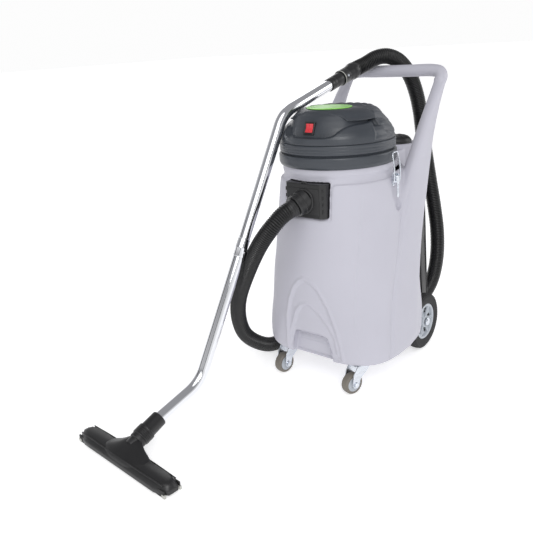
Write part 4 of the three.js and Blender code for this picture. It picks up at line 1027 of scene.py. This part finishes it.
# ---- latches ----------------------------------------------------------------------------------
for name, side in SIDES:
    here = Matrix.Translation((side * 207, 25, 722)) @ Matrix.Rotation(0 if side > 0 else math.pi, 4, "Z")
    back = [(12, -30), (12, 8), *arc(6, 8, 6, 0, 90, 5), *arc(-6, 8, 6, 90, 180, 5), (-12, -30)]
    parts = [place(plate(back, -10.7, -8.6, 0.4, 2, axis="x"), here)]
    cheek = [(-9.5, -9), (-9.5, 10), (-2, 10), (3.4, 5), (4, 0), (3.4, -5), (-2, -9)]
    for s in (-1, 1):
        parts.append(place(plate([(u, v) for u, v in cheek], *sorted((s * 11.9, s * 10.1)), 0.4, 2,
                                 axis="y"), here))
    parts.append(place(rod((0, -12.6, 0), (0, 12.6, 0), 2.2, 20, 0.7), here))
    for z in (-24, -15):
        parts.append(place(turned_along((-8.8, 0, z), (1, 0, 0),
                                        [(0, 0), (4, 0), (3.8, 1), (2.6, 2), (0, 2.3)], 24),
                           here))
    piece(f"latch_plate_{name}", parts, ZINC, "root", [f"latch_bracket_{name}"])
    blade = [(6.4, -8), (6, -30), (5.2, -52), *[(u, v) for u, v in arc(0, -62, 5.6, 0, -180, 10)],
             (-5.2, -52), (-6, -30),
             (-6.4, -8)]
    lever = [place(plate([(y, z) for y, z in blade], 3.2, 6.0, 0.9, 3, axis="x"), here),
             place(block(-1.4, 5.8, -9.5, 9.5, -18, 1.4, 1.4, 3), here),
             place(rod((0, -9.6, 0), (0, 9.6, 0), 4.6, 24, 0.6), here),
             place(tube(catmull([(6.1, 0, -22), (6.5, 0, -34), (6.3, 0, -48), (5.6, 0, -58)], 16), 1.5, 10),
                   here)]
    piece(f"latch_blade_{name}", lever, ZINC, f"lever_{name}", [f"latch_lever_{name}"])
    wire = [(2, -19, -14), (2, -19, 6), (2, -19, 30), (-2, -19, 56), (-6, -16.4, 74), (-6.2, -12, 78.4),
            (-6.2, 0, 79.2), (-6.2, 12, 78.4), (-6, 16.4, 74), (-2, 19, 56), (2, 19, 30), (2, 19, 6),
            (2, 19, -14)]
    bail = [place(tube(catmull(wire, 110), 2.1, 14), here), place(rod((2, -20.2, -14), (2, 20.2, -14), 2.1,
                                                                      16), here)]
    piece(f"latch_wire_{name}", bail, ZINC, f"bail_{name}", [f"latch_bail_{name}"])

# ---- wand, cuffs and floor tool ---------------------------------------------------------------
BEND_REACH = 48.85


def knee(at_knee, before, after, steps=28):
    a, b, c = (on_wand(at_knee, before, -BEND_REACH), np.array((0, *at_knee)),
               on_wand(at_knee, after, BEND_REACH))
    t = np.linspace(0, 1, steps)[:, None]
    return (1 - t)**2 * a + 2 * t * (1 - t) * b + t**2 * c


def straight(a, b, steps):
    t = np.linspace(0, 1, steps)[:, None]
    return a * (1 - t) + b * t


wand_low_start, wand_end = on_wand(LOW_KNEE, SLOPE, -196), cuff(0)
split = on_wand(LOW_KNEE, STEEP, 457)
low_bend, high_bend = knee(LOW_KNEE, SLOPE, STEEP), knee(HIGH_KNEE, STEEP, SLOPE)
lower = np.vstack([straight(wand_low_start, low_bend[0], 8)[:-1], low_bend,
                   straight(low_bend[-1], split, 14)[1:]])
upper = np.vstack([straight(split + (split - low_bend[-1]) / np.linalg.norm(split - low_bend[-1]) * 0.3,
                            high_bend[0], 14)[:-1], high_bend, straight(high_bend[-1], wand_end, 8)[1:]])
piece("dome_moulding", [make_dome()], HEAD, "motor_head", ["dome_cover"], 60)

piece("wand_tube_lower", [place(tube(even(lower, 150), 18.9, 48), REACH)], CHROME, "root",
      ["wand_lower"])
piece("wand_tube_upper", [place(tube(even(upper, 150), 18.9, 48), REACH)], CHROME, "root",
      ["wand_upper"])
up = (split - low_bend[-1]) / np.linalg.norm(split - low_bend[-1])
joint_profile = [(19, -34), (20.1, -33), (20.4, -30), (20.4, -8), (21, -6.5), (21, -2.5), (20.6, -1),
                 (20.4, 0), (20.4, 24), (20.1, 26),
                 (19, 27)]
piece("wand_ferrule", [place(turned_along(split, up, joint_profile, 56), REACH)], CHROME, "root")
button = place(turned_along(split + up * -18 + np.array((19.6, 0, 0)), (1, 0, 0),
                            [(0, 0), (4.4, 0), (4.4, 1), (3.2, 2.4), (0, 2.8)], 24), REACH)
piece("wand_button", [button], STEEL, "root")

back_way = on_wand(HIGH_KNEE, SLOPE, 1) - np.array((0, *HIGH_KNEE))
wand_grip = [(19.4, -42), (21.4, -41.4), (22.2, -39), (22.4, -30), (21.9, -28.6), (22.4, -27), (22.4, -14),
             (21.9, -12.6), (22.4, -11), (22.6, 10), (23, 14), (23, 26), (22.4, 27.6),
             (20, 28)]
piece("wand_end_cuff", [place(turned_along(wand_end, back_way, [(0, -42), *wand_grip, (0, 28)], 48),
                              REACH)], BLACK,
      "root", ["wand_cuff"])
hose_grip = [(24, 28.4), (26, 28.8), (26.8, 30.4), (27, 34), (26.4, 36), (26.4, 60), (25.9, 61.4),
             (26.4, 63), (26.4, 84), (27.6, 88), (29.2, 92), (30, 96), (30, 108), (29.4, 111),
             (27, 112)]
piece("hose_end_cuff", [place(turned_along(wand_end, back_way, [(0, 28.4), *hose_grip, (0, 112)], 48),
                              REACH)], BLACK,
      "root", ["hose_cuff"])
edge = [(26.6, 29.2), (27.3, 29.4), (27.5, 30.6), (27.3, 31.8), (26.6, 32)]
piece("cuff_edge_ring", [place(turned_along(wand_end, back_way, [(0, 29.2), *edge, (0, 32)], 48), REACH)],
      LIP, "root")
rivet_at = cuff(46) + np.array((25.6, -2, 5))
piece("cuff_rivet", [place(turned_along(rivet_at, (0.96, -0.08, 0.26),
                                        [(0, 0), (4.6, 0), (4.4, 1.4), (2.8, 2.4), (0, 2.8)], 28),
                           REACH)], ZINC, "root")


def tool_bar():
    w = 223.6
    rows = [(8, w - 1.5, 35.6, 30), (9.4, w, 37, 32), (21, w, 36.6, 32), (23, w - 1, 35.6, 31),
            (33, w - 7, 28.4, 27),
            (35, w - 9, 26.4, 26), (38.4, w - 16, 22, 22), (40, w - 22, 19, 19)]
    rings = []
    for z, a, d, c in rows:
        d *= 0.972
        e = d * 0.42
        ring = [(a - c * 1.5, -d), (a - c * 0.2, -e * 1.5), (a, -e), (a, e), (a - c * 0.2, e * 1.5),
                (a - c * 1.5, d)]
        ring = [(x, y) for x, y in ring] + [(-x, y) for x, y in reversed(ring)]
        dense = []
        for (x0, y0), (x1, y1) in zip(ring, ring[1:] + ring[:1]):
            steps = max(1, int(math.hypot(x1 - x0, y1 - y0) / 14))
            dense.append([(x0 + (x1 - x0) * k / steps, y0 + (y1 - y0) * k / steps, z) for k in range(steps)])
        rings.append([p for part in dense for p in part])
    counts = min(len(r) for r in rings)
    rings = [even(np.array(r + [r[0]]), counts)[:-1] for r in rings]
    return rings_to_mesh(rings)


neck_from, neck_way = np.array((0, 26, 50)), on_wand(LOW_KNEE, SLOPE, -170) - np.array((0, 26, 50))
neck_length = float(np.linalg.norm(neck_way))
neck_rows = [(0, -6), (23, -6), (23.4, 16), (26.4, 18), (26.8, 22), (26.8, 30), (29, 31.4), (29.4, 34)]
for k in range(4):
    z = 36 + k * 5.6
    neck_rows += [(28.2, z), (29.4, z + 1), (29.4, z + 3.2), (28.2, z + 4.2)]
neck_rows += [(29.2, 60), (28.6, 62), (26.4, 63), (25.8, 66), (25, neck_length - 6), (24.6, neck_length - 2),
              (22.6, neck_length), (0, neck_length)]
hood = []
for z, a, d, y in [(24, 112, 33.5, 0), (36, 104, 31, 2), (43, 84, 28, 8), (50, 62, 25, 14),
                   (58, 42, 22, 22), (66, 26, 18, 32),
                   (71, 16, 12, 40)]:
    hood.append(outline(z, a, d, d, 3.2, 3.2, 64, 0, y))
tool = [tool_bar(), rings_to_mesh(hood), turned_along(neck_from, neck_way, neck_rows, 48)]
tool.append(tube(catmull([(-206, -23, 35.6), (-100, -25.4, 36.6), (100, -25.4, 36.6), (206, -23, 35.6)],
                         40), 1.8, 10))
tool.append(tube(catmull([(-206, 23, 35.6), (-100, 25.4, 36.6), (100, 25.4, 36.6), (206, 23, 35.6)], 40),
                 1.8, 10))
piece("floor_tool_moulding", [place(s, REACH) for s in tool], BLACK, "root", ["tool_body"],
      45)
for name, s in (("front", -1), ("rear", 1)):
    y0, y1 = s * 27 - 2.4, s * 27 + 2.4
    rings = []
    for k in range(111):
        x = -216 + 432 * k / 110
        wave = 0.5 * math.sin(k * 0.9)
        rings.append([(x, y0, 25), (x, y0 + 0.4, 8), (x, y0 + 0.9 + wave * 0.5, 1.6),
                      (x, (y0 + y1) / 2 + wave * 0.6, 0.7),
                      (x, y1 - 0.9 + wave * 0.5, 1.6), (x, y1 - 0.4, 8), (x, y1, 25)])
    piece(f"blade_{name}", [place(rings_to_mesh(rings), REACH)], RUBBER, "root",
          [f"squeegee_{name}"])
lips = []
for s in (-1, 1):
    for y in (-27, 27):
        lips.append(place(block(*sorted((s * 206, s * 219.5)), y - 3.6, y + 3.6, 2.0, 13, 1.4, 3), REACH))
piece("blade_end_stops", lips, LIP, "root")
# ---- stored floor tool ------------------------------------------------------------------------
top, foot = np.array((158, 276, 616)), np.array((125, 392, 96))
half = np.linalg.norm(top - foot) / 2
lean = Matrix.Translation(Vector((top + foot) / 2)) @ Vector((0, 0, 1)).rotation_difference(
    Vector((top - foot) / (2 * half))).to_matrix().to_4x4()
rows = [(-1, 9, 19), (-0.99, 12, 23), (-0.97, 14.4, 26), (-0.94, 15, 27), (-0.3, 15, 27), (-0.28, 14, 26),
        (0.3, 14, 26), (0.32, 15, 27), (0.94, 15, 27), (0.97, 14.4, 25.6), (0.99, 12.6, 22),
        (1, 9, 17)]
stored = [place(rings_to_mesh([outline(k * half, a, d, d, 4, 4, 56) for k, a, d in rows]), lean)]
for k in range(9):
    z = -220 + 55 * k
    stored.append(place(block(-15.6, 15.6, -16, -12.6, z - 1.5, z + 1.5, 0.8, 2), lean))
    stored.append(place(block(-15.6, 15.6, 12.6, 16, z - 1.5, z + 1.5, 0.8, 2), lean))
for s in (-1, 1):
    stored.append(place(rod((14, s * 21, -235), (14, s * 21, 235), 2.6, 12), lean))
piece("stored_tool_moulding", stored, BLACK, "root", ["stored_tool_bar"])
rivets = [place(turned_along((14.2, 0, z), (1, 0, 0), [(0, 0), (5.6, 0), (5.4, 1.4), (3.6, 2.6), (0, 3)],
                             28), lean)
          for z in (236, -190)]
piece("stored_tool_rivets", rivets, ZINC, "root")
small = [place(rod((-8, -30, -246), (-8, 30, -246), 3.5, 20), lean)]
for s in (-1, 1):
    small.append(place(rod((-8, s * 29, -246), (-8, s * 33, -246), 15, 40, 1.5), lean))
piece("stored_tool_wheels", small, RUBBER, "root")
neck = [(520, 14, 20), (560, 17, 22), (598, 20, 24), (603, 22.4, 24.4), (612, 22.4, 24.4),
        (616, 20.6, 21.4), (640, 20.6, 21), (642, 22, 22), (646, 22, 22), (648, 20.6, 20.6),
        (654, 20.6, 20.6), (656, 22, 22), (660, 22, 22), (662, 20.6, 20.6),
        (692, 20.6, 20.6), (697, 20.2, 20.2), (700, 18.6, 18.6), (700, 16.4, 16.4), (684, 16, 16)]
neck_rings = [outline(z, a, d, d, 2, 2, 48, 118, 306) for z, a, d in neck]
piece("stored_neck_moulding", [rings_to_mesh(neck_rings)], BLACK, "root",
      ["stored_tool_neck"])

# ---- net bag ----------------------------------------------------------------------------------
BAG = [(186, 50, 12), (192, 56, 17), (210, 69, 20), (330, 76, 26), (480, 74, 24), (612, 72, 16)]
BAG_CENTRE = (-8, 484)
CELLS_ROUND, CELLS_UP = 30, 46


def bag_point(share, z):
    """A place on the bag, a share of the way round it from +X."""
    table = np.array(BAG, float)
    a, d = (float(np.interp(z, table[:, 0], table[:, k])) for k in (1, 2))
    t = 2 * math.pi * share
    c, s = math.cos(t), math.sin(t)
    x = BAG_CENTRE[0] + a * math.copysign(abs(c)**(2 / 2.6), c)
    y = BAG_CENTRE[1] + d * math.copysign(abs(s)**(2 / 2.6), s)
    y += 3.0 * math.sin(9 * t + z * 0.021) * float(ease(0, 14, d - 8)) * (s > 0)
    gap = (TOWER_X - x)**2
    clear = TOWER_Y + math.sqrt(max(0, 77.5**2 - gap))
    return np.array((x, max(y, clear), z))


def bag_top(share):
    x = math.cos(2 * math.pi * share)
    return 622 - 30 * x


def make_bag():
    verts, faces = [], []
    for j in range(CELLS_UP + 1):
        for i in range(CELLS_ROUND):
            share = (i + 0.5 * (j % 2)) / CELLS_ROUND
            z = 190 + (bag_top(share) - 190) * (j / CELLS_UP)**0.97
            verts.append(bag_point(share, z))
    n = CELLS_ROUND
    for j in range(CELLS_UP - 1):
        for i in range(n):
            left, right = (i, (i + 1) % n) if j % 2 else ((i - 1) % n, i)
            faces.append((j * n + i, (j + 1) * n + right, (j + 2) * n + i, (j + 1) * n + left))
    net = new_object("net_bag", [(np.array(verts), faces)], CORD)
    bake(net, ("WIREFRAME", {"thickness": 3.2 * MM, "use_even_offset": False, "use_boundary": True}))
    finish_piece(net, "root", ["mesh_bag"], 180)
    rim = [bag_point(k / 96, bag_top(k / 96) - 2) for k in range(97)]
    low = [bag_point(k / 96, 191) for k in range(97)]
    seams = [[bag_point(s, z) for z in np.linspace(191, bag_top(s) - 3, 40)] for s in (0.02, 0.48)]
    hem = [tube(rim, 3.6, 12), tube(low, 3.0, 12), *[tube(line, 2.4, 10) for line in seams]]
    left, right = bag_point(0.47, bag_top(0.47) - 2), bag_point(0.03, bag_top(0.03) - 2)
    hem.append(tube(catmull([left, (-82, 452, 672), (-84, 428, 697), (-80, 414, 698), (-74, 424, 684),
                             left + (4, 2, 0)], 50),
                    2.2, 10))
    hem.append(tube(catmull([right, (62, 474, 622), (60, 455, 652), (66, 440, 664)], 30), 2.2, 10))
    band = piece("net_hem", hem, CORD, "root")
    girths = [length_of(np.array([bag_point(k / 96, z) for k in range(97)])) * MM for z in range(190, 623,
            12)]


make_bag()

# ---- what the head and the tank hold: the CAD's own solids, with their finish ------------------
INSIDE = {"inlet_deflector": (BLACK, 0.8), "vacuum_motor": (CASING, 0.8), "motor_fan": (STEEL, 0.4),
          "float_cage": (BLACK, 0.8), "float_ball": (FLOAT, 0), "head_seal": (RUBBER, 0.4),
          "head_base": (BLACK, 0.6),
          "rear_axle": (STEEL, 0.8)}
for name, (material, edge) in INSIDE.items():
    node = bpy.data.objects[name]
    node.data.materials.clear()
    node.data.materials.append(material)
    if edge:
        bevel = node.modifiers.new("edges", "BEVEL")
        bevel.width, bevel.segments, bevel.limit_method = edge * MM, 2, "ANGLE"
        bevel.angle_limit = math.radians(50)
